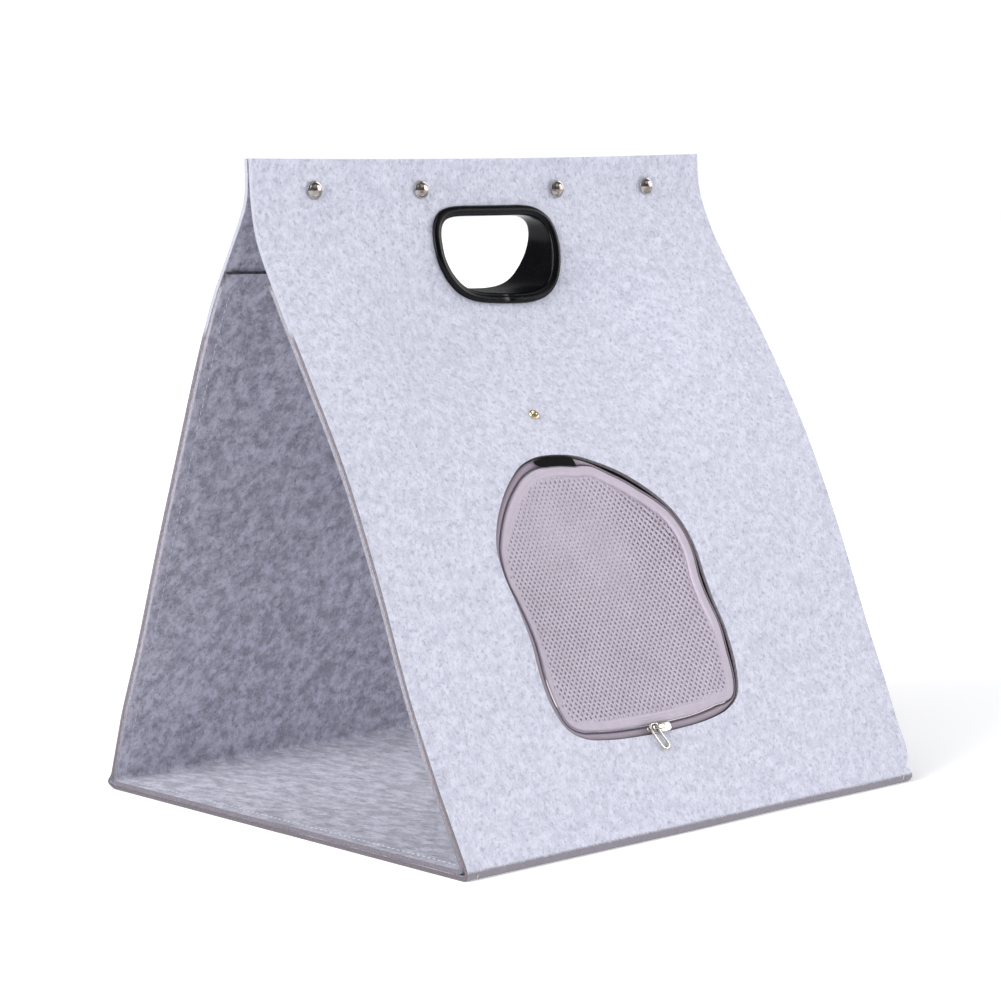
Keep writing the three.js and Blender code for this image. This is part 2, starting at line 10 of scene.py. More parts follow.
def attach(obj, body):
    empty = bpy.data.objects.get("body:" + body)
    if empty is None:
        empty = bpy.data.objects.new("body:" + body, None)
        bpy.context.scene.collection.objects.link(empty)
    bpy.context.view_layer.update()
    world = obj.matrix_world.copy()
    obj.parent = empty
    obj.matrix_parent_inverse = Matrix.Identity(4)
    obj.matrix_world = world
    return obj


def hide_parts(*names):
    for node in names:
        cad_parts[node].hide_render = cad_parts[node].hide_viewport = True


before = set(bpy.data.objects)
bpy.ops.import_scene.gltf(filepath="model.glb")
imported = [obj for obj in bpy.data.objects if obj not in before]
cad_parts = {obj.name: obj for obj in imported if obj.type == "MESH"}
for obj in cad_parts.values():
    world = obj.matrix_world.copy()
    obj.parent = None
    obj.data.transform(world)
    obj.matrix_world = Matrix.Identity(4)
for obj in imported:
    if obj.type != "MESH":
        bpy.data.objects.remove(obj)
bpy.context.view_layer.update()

# Outer felt strip. One length of needled polyester felt, 3 mm thick, folded at two bottom edges
# into door wall, floor and back wall. Its edges are cut raw, and the door, the hand hole and the
# rivet holes are punched out of it.
FELT = 0.003
CUT_ROUNDING = 0.0005
HALF_WIDTH = 0.200
HEIGHT = 0.438
RIDGE_SAG = 0.0015
RIDGE_Y = 0.007465
MIN_HALF_GAP = 0.0032
LEVELS = (0, 0.0517, 0.1077, 0.175, 0.241, 0.306, 0.350, 0.385, 0.4115, 0.438)
DOOR_WALL_LEFT = (0.2070, 0.1787, 0.1513, 0.1251, 0.0947, 0.0559, 0.0292, 0.0100, 0.0042, 0.0032)
DOOR_WALL_RIGHT = (0.2075, 0.1892, 0.1662, 0.1394, 0.1084, 0.0696, 0.0395, 0.0169, 0.0056, 0.0032)
BACK_WALL = (0.1930, 0.1746, 0.1495, 0.1220, 0.0937, 0.0657, 0.0440, 0.0212, 0.0057, 0.0032)
LOW = 0.0517
GRIP_X = -0.0035
GRIP_Z = 0.3728
PULL_IN = 0.024
DISH_HALF = 0.115
DOOR_DISH = (0.330, 0.036, 0.079)
BACK_DISH = (0.352, 0.046, 0.076)
BACK_DEEPER = 1.08
WAVE_HEIGHT = 0.0002
SEAM_IN = 0.0080
SEAM_TOP = 0.362
SEAM_DIP_WIDTH = 0.0022
HAND_HOLE_INSET = 0.0047
NEIGHBOUR_GAP = 0.0028
WALL_STEPS = 104
LOW_STEPS = 12
FOLD_STEPS = 8
FLOOR_STEPS = 40
MIDDLE_STEPS = 92
EDGE_STEPS = 10


def hump(value, centre, width):
    return math.exp(-(((value - centre) / width) ** 2))


def clamp(value, low, high):
    return max(low, min(high, value))


def wall_curve(distances):
    """A smooth curve through the wall's distances from the ridge plane at LEVELS."""
    last = len(LEVELS) - 1
    slopes = []
    for i in range(last + 1):
        a, b = max(0, i - 1), min(last, i + 1)
        slopes.append((distances[b] - distances[a]) / (LEVELS[b] - LEVELS[a]))
    slopes[last] *= 0.3

    def at(z):
        z = clamp(z, LEVELS[0], LEVELS[last])
        i = 0
        while i < last - 1 and z > LEVELS[i + 1]:
            i += 1
        step = LEVELS[i + 1] - LEVELS[i]
        t = (z - LEVELS[i]) / step
        ends = (2 * t**3 - 3 * t**2 + 1) * distances[i] + (3 * t**2 - 2 * t**3) * distances[i + 1]
        leans = (t**3 - 2 * t**2 + t) * slopes[i] + (t**3 - t**2) * slopes[i + 1]
        return ends + leans * step

    return at


door_wall_left = wall_curve(DOOR_WALL_LEFT)
door_wall_right = wall_curve(DOOR_WALL_RIGHT)
back_wall = wall_curve(BACK_WALL)


def kept_open(distance):
    spare = distance - MIN_HALF_GAP
    return MIN_HALF_GAP + 0.5 * (spare + math.hypot(spare, 0.001))


def drawn_in(x, z, centre, above, below):
    """How far the hand grip, which holds both walls together, dishes a wall inwards: most at the
    height of the centre, with a reach above it and another below."""
    sideways = math.exp(-(((x - GRIP_X) / DISH_HALF) ** 4))
    return PULL_IN * sideways * hump(z, centre, above if z > centre else below)


def rumple(x, z):
    """Slow waves left in felt that has been packed flat."""
    fades = clamp((0.33 - z) / 0.06, 0, 1) * clamp((z - 0.05) / 0.05, 0, 1)
    waves = math.sin(x / 0.041 + 1.7 * math.sin(z / 0.062)) + math.sin(x / 0.083 - z / 0.051 + 2)
    return WAVE_HEIGHT * fades * waves


def door_y(x, z):
    share = clamp((x + HALF_WIDTH) / (2 * HALF_WIDTH), 0, 1)
    distance = door_wall_left(z) * (1 - share) + door_wall_right(z) * share
    return RIDGE_Y - kept_open(distance - drawn_in(x, z, *DOOR_DISH)) + rumple(x, z)


def back_y(x, z):
    return RIDGE_Y + kept_open(back_wall(z) - BACK_DEEPER * drawn_in(x, z, *BACK_DISH))


def wall_path(x, surface, facing, depth, radius, top):
    """Points down one wall at x and round its bottom fold, depth below the felt's outer face.

    facing is -1 on the door wall and 1 on the back wall."""
    points = []
    for i in range(WALL_STEPS + 1):
        z = top + (LOW - top) * i / WALL_STEPS
        slope = (surface(x, z + 0.0005) - surface(x, z - 0.0005)) / 0.001
        size = math.hypot(1, slope)
        points.append((surface(x, z) - facing * depth / size, z + facing * depth * slope / size))
    foot = surface(x, 0)
    knee = surface(x, LOW)
    run = math.hypot(foot - knee, LOW)
    down = ((foot - knee) / run, -LOW / run)
    inward = (facing * down[1], -facing * down[0])
    corner = (foot + inward[0] * depth, inward[1] * depth)
    ahead = (depth - corner[1]) / down[1]
    corner = (corner[0] + down[0] * ahead, depth)
    reach = radius / math.tan(math.acos(facing * down[0]) / 2)
    bend = (corner[0] - down[0] * reach, corner[1] - down[1] * reach)
    start = points[-1]
    for i in range(1, LOW_STEPS + 1):
        t = i / LOW_STEPS
        t = t * (2 - t)
        points.append((start[0] + (bend[0] - start[0]) * t, start[1] + (bend[1] - start[1]) * t))
    centre = (corner[0] - facing * reach, depth + radius)
    first = math.atan2(bend[1] - centre[1], facing * (centre[0] - bend[0])) % (2 * math.pi)
    for i in range(1, FOLD_STEPS + 1):
        turn = first + (1.5 * math.pi - first) * i / FOLD_STEPS
        points.append((centre[0] - facing * radius * math.cos(turn),
                       centre[1] + radius * math.sin(turn)))
    return points


def strip_path(x, depth, folds, tops):
    """The whole strip at x, from the top of the door wall over the floor to the top of the back."""
    door = wall_path(x, door_y, -1, depth, folds[0](x), tops[0](x))
    back = wall_path(x, back_y, 1, depth, folds[1](x), tops[1](x))[::-1]
    floor = []
    for i in range(1, FLOOR_STEPS):
        floor.append((door[-1][0] + (back[0][0] - door[-1][0]) * i / FLOOR_STEPS, depth))
    return door + floor + back


def column_places():
    """Where the strip's columns of points run: close together at the seams, wider between."""
    middle = [-0.184 + 0.368 * i / MIDDLE_STEPS for i in range(MIDDLE_STEPS + 1)]
    edge = [0.184 + 0.016 * i / EDGE_STEPS for i in range(1, EDGE_STEPS + 1)]
    return [-x for x in reversed(edge)] + middle + edge


def edge_shift(x, y, z, swell):
    """Sideways move of the raw edge. On the right it bulges low down and is nicked where the felt
    folds; on the left it stands out at the back fold."""
    share = clamp((abs(x) - 0.186) / 0.014, 0, 1)
    ear = hump(z, 0.005, 0.0032)
    if x < 0:
        return -share * swell * (1.1 if y > 0 else 0.15) * ear
    low_down = 1.1 * hump(z, 0.026, 0.011) - 1.1 * hump(z, 0.012, 0.0026)
    return share * swell * (0.5 * ear + low_down)


def laid_grid(across, down, flat_at, at):
    """A grid of points in rows and columns, each moved to its place, with a UV map of the cloth
    as it lay flat."""
    cloth = bmesh.new()
    bmesh.ops.create_grid(cloth, x_segments=across, y_segments=down, size=0.5)
    flat = cloth.loops.layers.uv.new("cloth")
    for point in cloth.verts:
        i = round((point.co.x + 0.5) * across)
        j = round((point.co.y + 0.5) * down)
        for loop in point.link_loops:
            loop[flat].uv = flat_at(i, j)
        point.co = at(i, j)
    return cloth


def felt_strip(depth, folds, tops, swell, seam_dip):
    """A bmesh of the strip's outer face, whose UV map holds the flat cloth in metres."""
    columns = column_places()
    paths = [strip_path(x, depth, folds, tops) for x in columns]
    middle = paths[len(paths) // 2]
    lengths = [0]
    for a, b in zip(middle, middle[1:]):
        lengths.append(lengths[-1] + math.dist(a, b))

    def at(i, j):
        y, z = paths[i][j]
        return (columns[i] + edge_shift(columns[i], y, z, swell), y, z)

    cloth = laid_grid(len(columns) - 1, len(middle) - 1, lambda i, j: (columns[i], lengths[j]), at)
    bmesh.ops.recalc_face_normals(cloth, faces=cloth.faces)
    cloth.faces.ensure_lookup_table()
    if min(cloth.faces, key=lambda face: face.calc_center_median().z).normal.z > 0:
        bmesh.ops.reverse_faces(cloth, faces=cloth.faces)
    cloth.normal_update()
    for point in cloth.verts:
        dip = seam_dip * hump(abs(point.co.x), HALF_WIDTH - SEAM_IN, SEAM_DIP_WIDTH)
        point.co -= point.normal * dip * clamp((SEAM_TOP - point.co.z) / 0.01, 0, 1)
    return cloth, lengths[-1]


def smooth_loop(points, count):
    """A closed curve through the points, as count evenly spaced ones."""
    fine = []
    size = len(points)
    for i in range(size):
        p = [Vector(points[(i + k) % size]) for k in (-1, 0, 1, 2)]
        k = [0]
        for a, b in zip(p, p[1:]):
            k.append(k[-1] + math.sqrt((b - a).length))
        for step in range(16):
            t = k[1] + (k[2] - k[1]) * step / 16
            sides = [p[n].lerp(p[n + 1], (t - k[n]) / (k[n + 1] - k[n])) for n in range(3)]
            near = sides[0].lerp(sides[1], (t - k[0]) / (k[2] - k[0]))
            far = sides[1].lerp(sides[2], (t - k[1]) / (k[3] - k[1]))
            fine.append(near.lerp(far, (t - k[1]) / (k[2] - k[1])))
    lengths = [0]
    for a, b in zip(fine, fine[1:] + fine[:1]):
        lengths.append(lengths[-1] + (b - a).length)
    even = []
    i = 0
    for step in range(count):
        at = lengths[-1] * step / count
        while lengths[i + 1] < at:
            i += 1
        share = (at - lengths[i]) / (lengths[i + 1] - lengths[i])
        even.append(fine[i].lerp(fine[(i + 1) % len(fine)], share))
    return even


def loop_normals(loop):
    """Unit steps out of a closed loop, one for each of its points."""
    turn = sum(a.cross(b) for a, b in zip(loop, loop[1:] + loop[:1]))
    out = []
    for i in range(len(loop)):
        along = (loop[(i + 1) % len(loop)] - loop[i - 1]).normalized()
        out.append(Vector((along.y, -along.x)) * math.copysign(1, turn))
    return out


def grown(loop, by):
    return [point + step * by for point, step in zip(loop, loop_normals(loop))]


def inside(loop, x, z):
    crossed = False
    for a, b in zip(loop, loop[1:] + loop[:1]):
        if (a.y > z) != (b.y > z) and x < a.x + (z - a.y) * (b.x - a.x) / (b.y - a.y):
            crossed = not crossed
    return crossed


def nearest(loop, x, z):
    """The point of the closed loop that lies nearest to x, z."""
    here = Vector((x, z))
    best = None
    for a, b in zip(loop, loop[1:] + loop[:1]):
        share = clamp((here - a).dot(b - a) / (b - a).length_squared, 0, 1)
        point = a.lerp(b, share)
        if best is None or (point - here).length < (best - here).length:
            best = point
    return best


def punch(cloth, loop, facing):
    """Cuts the loop out of one wall and draws the cut's edge onto the loop."""
    low = min(point.y for point in loop) - 0.01
    high = max(point.y for point in loop) + 0.01
    wall = [face for face in cloth.faces
            if low < face.calc_center_median().z < high and face.normal.y * facing > 0.2]
    gone = set()
    for face in wall:
        middle = face.calc_center_median()
        if inside(loop, middle.x, middle.z):
            gone.add(face)
    rim = set()
    for face in gone:
        for edge in face.edges:
            if any(side not in gone for side in edge.link_faces):
                rim.update(edge.verts)
    bmesh.ops.delete(cloth, geom=list(gone), context="FACES")
    ring = set()
    for point in rim:
        ring.update(edge.other_vert(point) for edge in point.link_edges)
    ring -= rim
    for point in list(rim) + list(ring):
        at = Vector((point.co.x, point.co.z))
        cut = nearest(loop, at.x, at.y)
        if point in rim:
            moved = cut
        else:
            away = at - cut
            moved = cut + away.normalized() * max(away.length, NEIGHBOUR_GAP)
        moved_from = point.co.copy()
        point.co.x, point.co.z = moved
        slope = slope_of(facing, moved_from.x, moved_from.z)
        point.co.y += slope[0] * (moved.x - moved_from.x) + slope[1] * (moved.y - moved_from.z)


def slope_of(facing, x, z):
    surface = door_y if facing < 0 else back_y
    step = 0.0005
    across = (surface(x + step, z) - surface(x - step, z)) / (2 * step)
    up = (surface(x, z + step) - surface(x, z - step)) / (2 * step)
    return across, up


def put_in_scene(name, data):
    made = bpy.data.objects.new(name, data)
    bpy.context.scene.collection.objects.link(made)
    return made


def mesh_from(name, shape):
    mesh = bpy.data.meshes.new(name)
    shape.to_mesh(mesh)
    shape.free()
    return mesh


def piece(name, shape, slot, material, *nodes):
    """Puts a finished bmesh in the scene, riding on the tent, with its material.
    The slot argument is not used.
    """
    made = put_in_scene(name, mesh_from(name, shape))
    made.data.shade_smooth()
    made.data.materials.append(material)
    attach(made, "root")
    if nodes:
        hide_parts(*nodes)
    return made


def add_modifier(made, kind, **settings):
    modifier = made.modifiers.new(kind.title(), kind)
    for name, value in settings.items():
        setattr(modifier, name, value)


def rounded(made):
    add_modifier(made, "SUBSURF", levels=1, render_levels=1)


def give_thickness(made, thickness, edge, *others):
    """Turns a sheet's outer face into cloth with softened cut edges. The other finishes are those
    of the cut edge and of the inner face."""
    for finish in others:
        made.data.materials.append(finish)
    add_modifier(made, "SOLIDIFY", thickness=thickness, offset=-1, use_even_offset=True,
                 material_offset_rim=min(1, len(others)),
                 material_offset=2 if len(others) > 1 else 0)
    add_modifier(made, "BEVEL", width=edge, segments=2, limit_method="ANGLE",
                 angle_limit=math.radians(50), use_clamp_overlap=True)


class Ink:
    """A shader socket that takes Python sums: each one adds its Math node."""

    def __init__(self, dye, socket):
        self.dye = dye
        self.socket = socket

    def sum(self, operation, *terms):
        return self.dye.node("ShaderNodeMath", {"operation": operation}, dict(enumerate(terms)))

    def __add__(self, other):
        return self.sum("ADD", self, other)

    def __radd__(self, other):
        return self.sum("ADD", other, self)

    def __sub__(self, other):
        return self.sum("SUBTRACT", self, other)

    def __rsub__(self, other):
        return self.sum("SUBTRACT", other, self)

    def __mul__(self, other):
        return self.sum("MULTIPLY", self, other)

    def __rmul__(self, other):
        return self.sum("MULTIPLY", other, self)


class Dye:
    """A material in the making."""

    def __init__(self, name):
        self.material = bpy.data.materials.new(name)
        self.material.use_nodes = True
        self.tree = self.material.node_tree
        self.tree.nodes.clear()

    def node(self, kind, settings=None, inputs=None, output=0):
        """Adds a node: its settings first, a ramp's stops among them, then its inputs."""
        made = self.tree.nodes.new(kind)
        for name, value in (settings or {}).items():
            if name == "stops":
                ramp = made.color_ramp.elements
                while len(ramp) < len(value):
                    ramp.new(0.5)
                for element, (place, shade) in zip(ramp, value):
                    element.position = place
                    element.color = (shade, shade, shade, 1)
            else:
                setattr(made, name, value)
        for name, value in (inputs or {}).items():
            if isinstance(value, Ink):
                self.tree.links.new(value.socket, made.inputs[name])
            else:
                made.inputs[name].default_value = value
        return Ink(self, made.outputs[output]) if made.outputs else None

    def place(self):
        return self.node("ShaderNodeTexCoord", output="Object")

    def flat_cloth(self):
        return self.node("ShaderNodeUVMap", {"uv_map": "cloth"})

    def noise(self, at, scale, detail, roughness):
        return self.node("ShaderNodeTexNoise", None, {
            "Vector": at, "Scale": scale, "Detail": detail, "Roughness": roughness})

    def streaks(self, at, turned, scale, first, last, shift=(0, 0, 0)):
        """Fine lines that all run one way: noise drawn out along one of its axes."""
        drawn = self.node("ShaderNodeMapping", None, {
            "Vector": at, "Rotation": turned, "Scale": scale, "Location": shift})
        return self.ramp(self.noise(drawn, 1, 2, 0.5), (first, 0), (last, 1))

    def ramp(self, value, *stops):
        return self.node("ShaderNodeValToRGB", {"stops": stops}, {0: value})

    def mix(self, share, a, b):
        return self.node("ShaderNodeMix", {"data_type": "RGBA"}, {0: share, 6: a, 7: b}, 2)

    def bump(self, height, distance, strength=1):
        return self.node("ShaderNodeBump", None, {
            "Height": height, "Distance": distance, "Strength": strength})

    def finish(self, **sockets):
        """Closes the material with a Principled shader; an underscore stands for a space."""
        named = {name.replace("_", " "): value for name, value in sockets.items()}
        surface = self.node("ShaderNodeBsdfPrincipled", None, named)
        self.node("ShaderNodeOutputMaterial", None, {"Surface": surface})
        return self.material


def tint(red, green, blue):
    """A colour as a paint chart gives it, 0 to 255, as the shader's own value."""
    parts = []
    for part in (red, green, blue):
        part = part / 255
        parts.append(part / 12.92 if part <= 0.04045 else ((part + 0.055) / 1.055) ** 2.4)
    return (*parts, 1)


def felt_finish(name, light, middle, dark, contrast, clouded, flecked, lay, foot=None):
    """Needled felt of pale fibres with a darker few: soft clouds, flecks and a dry nap. A lay
    below 1 draws the clouds out along the strip, and the foot is painted shade in a ragged band
    along the bottom folds, where the felt turns under."""
    dye = Dye(name)
    flat = dye.flat_cloth()
    place = dye.node("ShaderNodeMapping", None, {"Vector": dye.place(), "Scale": (1, lay, 1)})
    clouds = dye.ramp(dye.noise(place, clouded, 4, 0.66), (0.38, 0), (0.62, 1))
    grain = dye.noise(place, 1300, 3, 0.7)
    specks = dye.ramp(dye.noise(place, flecked, 3, 0.62), (0.53, 0), (0.70, 1))
    wander = dye.node("ShaderNodeTexNoise", None, {"Vector": flat, "Scale": 260, "Detail": 2}, 1)
    curled = dye.node("ShaderNodeVectorMath", {"operation": "MULTIPLY_ADD"},
                      {0: wander, 1: (0.0045, 0.0045, 0), 2: flat})
    fibres = None
    for angle, across in ((0.35, 900), (1.25, 800), (2.2, 950)):
        streak = dye.streaks(curled, (0, 0, angle), (across, across * 0.3, 1), 0.56, 0.70,
                             (angle * 10, 0, 0))
        fibres = streak if fibres is None else fibres.sum("MAXIMUM", fibres, streak)
    base = dye.mix(clouds, middle, light)
    base = dye.mix(dye.ramp(grain, (0.38, 0.0), (0.72, 0.5)), base, light)
    base = dye.mix(specks * contrast, base, dark)
    base = dye.mix(fibres * (0.6 * contrast), base, dark)
    # Painted shade: the foot band darkens the felt up to about 5 mm above the floor, under the
    # folds.
    if foot:
        height = dye.node("ShaderNodeSeparateXYZ", None, {0: dye.place()}, 2)
        ragged_fold_shade = height * 100 + (grain - 0.5) * 0.4 + (specks - 0.5) * 0.12
        base = dye.mix(dye.ramp(ragged_fold_shade, (0.48, 0.9), (0.64, 0)), base, foot)
    nap = grain * 0.5 + fibres * -0.3 + specks * -0.5 + clouds * 0.3
    return dye.finish(Base_Color=base, Roughness=0.95, Sheen_Weight=0.25, Sheen_Roughness=0.6,
                      Sheen_Tint=(1, 1, 1, 1), Normal=dye.bump(nap, 0.0007, 0.6))


def cut_edge_finish(name, pale, dingy_and_shaded, low_down, high_up, turns):
    """The felt's raw cut: matted fibre ends, browner than the faces and darker, partly as painted
    shade on an edge that the light reaches less. It is darker towards the bottom. Above the height
    where it turns, it has another tint: a painted highlight on the outer strip, a painted shadow
    line on the inner strip."""
    dye = Dye(name)
    place = dye.place()
    matted = dye.ramp(dye.noise(place, 520, 4, 0.7), (0.36, 0), (0.64, 1))
    ends = dye.noise(place, 1700, 3, 0.7)
    # The darker tint is partly the matted cut and partly painted shade.
    base = dye.mix(matted * 0.7 + ends * 0.3, dingy_and_shaded, pale)
    height = dye.node("ShaderNodeSeparateXYZ", None, {0: place}, 2)
    # Darker towards the bottom.
    base = dye.mix(dye.ramp(height * 10, (0.10, 0.65), (0.90, 0)), base, low_down)
    # Above the height where it turns the edge takes the high tint: a painted highlight on the outer
    # strip, a painted shadow line on the inner strip.
    above = dye.ramp((height - turns) * 10, (0.02, 0), (0.10, 1))
    base = dye.mix(above, base, dye.mix(matted * 0.3, high_up, pale))
    return dye.finish(Base_Color=base, Roughness=1.0, Sheen_Weight=0.15,
                      Normal=dye.bump(matted * 0.6 + ends * 0.4, 0.0008, 0.9))


def ridge_top(x):
    return HEIGHT - RIDGE_SAG + RIDGE_SAG * ((x - 0.015) / 0.190) ** 2


def door_fold(x):
    return 0.0050 + 0.0013 * hump(x, 0.080, 0.045) - 0.0006 * hump(x, -0.020, 0.050)


DOOR = (
    (-0.0260, 0.2398), (-0.0089, 0.2376), (0.0050, 0.2328), (0.0195, 0.2263), (0.0320, 0.2184),
    (0.0430, 0.2096), (0.0540, 0.1976), (0.0605, 0.1840), (0.0632, 0.1700), (0.0636, 0.1550),
    (0.0654, 0.1380), (0.0688, 0.1207), (0.0692, 0.1040), (0.0668, 0.0880), (0.0615, 0.0765),
    (0.0500, 0.0692), (0.0285, 0.0646), (0.0000, 0.0626), (-0.0300, 0.0622), (-0.0600, 0.0636),
    (-0.0780, 0.0670), (-0.0890, 0.0745), (-0.0948, 0.0880), (-0.0968, 0.1040),
    (-0.0964, 0.1265), (-0.0996, 0.1500), (-0.1034, 0.1700), (-0.1032, 0.1860),
    (-0.0968, 0.2010), (-0.0860, 0.2150), (-0.0730, 0.2265), (-0.0580, 0.2355),
    (-0.0434, 0.2394),
)
GRIP = (
    (0, 0.0325), (0.0150, 0.0324), (0.0285, 0.0322), (0.0395, 0.0306), (0.0475, 0.0268),
    (0.0528, 0.0214), (0.0556, 0.0144), (0.0564, 0.0065), (0.0560, -0.0010), (0.0548, -0.0085),
    (0.0528, -0.0165), (0.0488, -0.0246), (0.0420, -0.0307), (0.0325, -0.0344),
    (0.0205, -0.0360), (0.0070, -0.0360), (-0.0060, -0.0354), (-0.0180, -0.0344),
    (-0.0285, -0.0322), (-0.0370, -0.0284), (-0.0442, -0.0224), (-0.0506, -0.0142),
    (-0.0548, -0.0040), (-0.0556, 0.0080), (-0.0540, 0.0180), (-0.0502, 0.0250),
    (-0.0446, 0.0296), (-0.0365, 0.0320), (-0.0260, 0.0327), (-0.0120, 0.0326),
)
GRIP_SIZE = 0.985
grip_outline = [(GRIP_X + GRIP_SIZE * x, GRIP_Z + GRIP_SIZE * z) for x, z in GRIP]
DOOR_STEPS = 220
GRIP_STEPS = 128
door_loop = smooth_loop(DOOR, DOOR_STEPS)
grip_loop = smooth_loop(grip_outline, GRIP_STEPS)


def punch_holes(cloth, door_cut):
    """Cuts the door out of one wall and the hand hole out of both."""
    punch(cloth, door_cut, -1)
    for facing in (-1, 1):
        punch(cloth, grown(grip_loop, -HAND_HOLE_INSET), facing)


outer_folds = (door_fold, lambda x: 0.0060)
outer_cloth, outer_length = felt_strip(0, outer_folds, (ridge_top, ridge_top), 0.0022, 0.0002)
punch_holes(outer_cloth, door_loop)
# The foot tint is painted shade for the underside of the bottom folds.
felt_outside = felt_finish("needled_felt", tint(217, 218, 233), tint(192, 194, 211),
                           tint(132, 134, 156), 0.48, 170, 380, 1, foot=tint(120, 114, 122))
# Same felt as the outside with darker tints: painted shade for the tent's inside.
shaded_felt_inside = felt_finish("needled_felt_inside", tint(202, 202, 218), tint(140, 139, 156),
                          tint(90, 88, 109), 0.50, 125, 280, 0.45)
outer_strip = piece("outer_strip", outer_cloth, "felt", felt_outside, "outer_felt")
# The outer cut edge is partly painted shade and is lightened above 0.32 m as a painted highlight.
# Its inner face takes the inside felt's painted shade.
give_thickness(outer_strip, FELT, CUT_ROUNDING, cut_edge_finish(
    "felt_cut_edge", tint(140, 133, 141), tint(92, 84, 91), tint(92, 84, 90),
    tint(188, 190, 204), 0.320), shaded_felt_inside)

# Inner felt strip. A second, shorter length of the same felt, which doubles the floor and the
# walls up to below the hand grip and stiffens them. It is sewn to the outer strip along both
# side edges.
LAYER_GAP = 0.00045
INNER_NARROWER = 0.9985
INNER_DOOR_SPARE = 0.009


def inner_top_door(x):
    return 0.3596 + 0.0009 * math.sin(x / 0.055)


def inner_top_back(x):
    return 0.3668 + 0.0016 * hump(x, -0.200, 0.045) + 0.0008 * math.sin(x / 0.070 + 1)


inner_cloth, inner_length = felt_strip(
    FELT + LAYER_GAP, (lambda x: 0.0048, lambda x: 0.0056), (inner_top_door, inner_top_back),
    0.0014, -0.0002)
for point in inner_cloth.verts:
    point.co.x *= INNER_NARROWER
punch_holes(inner_cloth, grown(door_loop, INNER_DOOR_SPARE))
# The inner strip's faces take the inside felt's painted shade.
inner_strip = piece("inner_strip", inner_cloth, "felt_inner", shaded_felt_inside, "inner_felt")
# The inner cut edge is nearly black above 0.351 m: a painted shadow line along the strip's top.
give_thickness(inner_strip, FELT, CUT_ROUNDING, cut_edge_finish(
    "inner_cut_edge", tint(176, 173, 184), tint(124, 118, 129), tint(86, 78, 88),
    tint(36, 31, 38), 0.351))


def loop_area(loop):
    return abs(sum(a.cross(b) for a, b in zip(loop, loop[1:] + loop[:1]))) / 2


# The door lies on a sloping wall, and the inner strip's cut is wider round the door and takes in
# only the lower part of the hand hole.
for strip, length, doors, hands in ((outer_strip, outer_length, 1.1, 2),
                                    (inner_strip, inner_length, 1.25, 0.6)):
    (2 * HALF_WIDTH * length - doors * loop_area(door_loop)
             - hands * loop_area(grip_loop))

# Side seams. A lockstitch of pale thread through both strips, 8 mm in from each side edge, up to
# the top of the inner strip. Each stitch is a short bead of thread sunk into the felt.
STITCH_PITCH = 0.0050
STITCH_HALF = 0.0018
THREAD = 0.00034
BEAD_SIDES = 6
BEAD_RINGS = 4


def along_path(points, start, pitch):
    """Places every pitch along a line of points, each with the line's direction there."""
    found = []
    at = start
    done = 0
    for a, b in zip(points, points[1:]):
        size = (b - a).length
        while size > 0 and done + size >= at:
            found.append((a.lerp(b, (at - done) / size), (b - a).normalized()))
            at += pitch
        done += size
    return found


def beads(places, sides, rings):
    """One mesh of rounded beads. A place is a bead's middle and its three half sizes as vectors."""
    shape = bmesh.new()
    number = shape.verts.layers.int.new("bead")
    bmesh.ops.create_uvsphere(shape, u_segments=sides, v_segments=rings, radius=1)
    made = 1
    while made < len(places):
        copies = bmesh.ops.duplicate(shape, geom=shape.verts[:] + shape.edges[:] + shape.faces[:])
        for part in copies["geom"]:
            if isinstance(part, bmesh.types.BMVert):
                part[number] += made
        made *= 2
    spare = [point for point in shape.verts if point[number] >= len(places)]
    bmesh.ops.delete(shape, geom=spare, context="VERTS")
    for point in shape.verts:
        middle, along, across, out = places[point[number]]
        point.co = middle + along * point.co.x + across * point.co.y + out * point.co.z
        point.co.z = max(point.co.z, 0.00005)
    bmesh.ops.recalc_face_normals(shape, faces=shape.faces)
    return shape


def seam_line(x, depth, folds, tops):
    path = [Vector((x, y, z)) for y, z in strip_path(x, depth, folds, tops)]
    return [point for point in path if point.z < inner_top_door(x) - 0.004]


random.seed(11)
stitches = []
for x in (-HALF_WIDTH + SEAM_IN, HALF_WIDTH - SEAM_IN):
    outside = seam_line(x, 0.0001, outer_folds, (ridge_top, ridge_top))
    inside_line = seam_line(x, 2 * FELT + LAYER_GAP - 0.0001, (lambda x: 0.0018, lambda x: 0.0026),
                            (inner_top_door, inner_top_back))
    for line, side in ((outside, 1), (inside_line, -1)):
        for middle, along in along_path(line, 0.003, STITCH_PITCH):
            out = Vector((1, 0, 0)).cross(along).normalized() * side
            wander = Vector((random.uniform(-0.0003, 0.0003), 0, 0))
            tilt = Vector((random.uniform(-0.05, 0.05), 0, 0))
            if side > 0 and middle.z < 0.0008:
                middle.z = THREAD
            lies = (along + tilt).normalized()
            stitches.append((middle + wander, lies * STITCH_HALF, lies.cross(out) * THREAD,
                             out * THREAD))


def yarn_finish(name, fineness, deep, light, roughness, sheen, rise, strength):
    """Spun or drawn yarn, its plies and loops painted a little lighter where they stand up,
    a painted highlight.
    """
    dye = Dye(name)
    ply = dye.noise(dye.place(), fineness, 2, 0.5)
    return dye.finish(Base_Color=dye.mix(ply, deep, light), Roughness=roughness,
                      Sheen_Weight=sheen, Normal=dye.bump(ply, rise, strength))


piece("side_seams", beads(stitches, BEAD_SIDES, BEAD_RINGS), "felt", yarn_finish(
    "sewing_thread", 2600, tint(186, 188, 204), tint(216, 218, 232), 0.7, 0.2, 0.0002, 0.5))

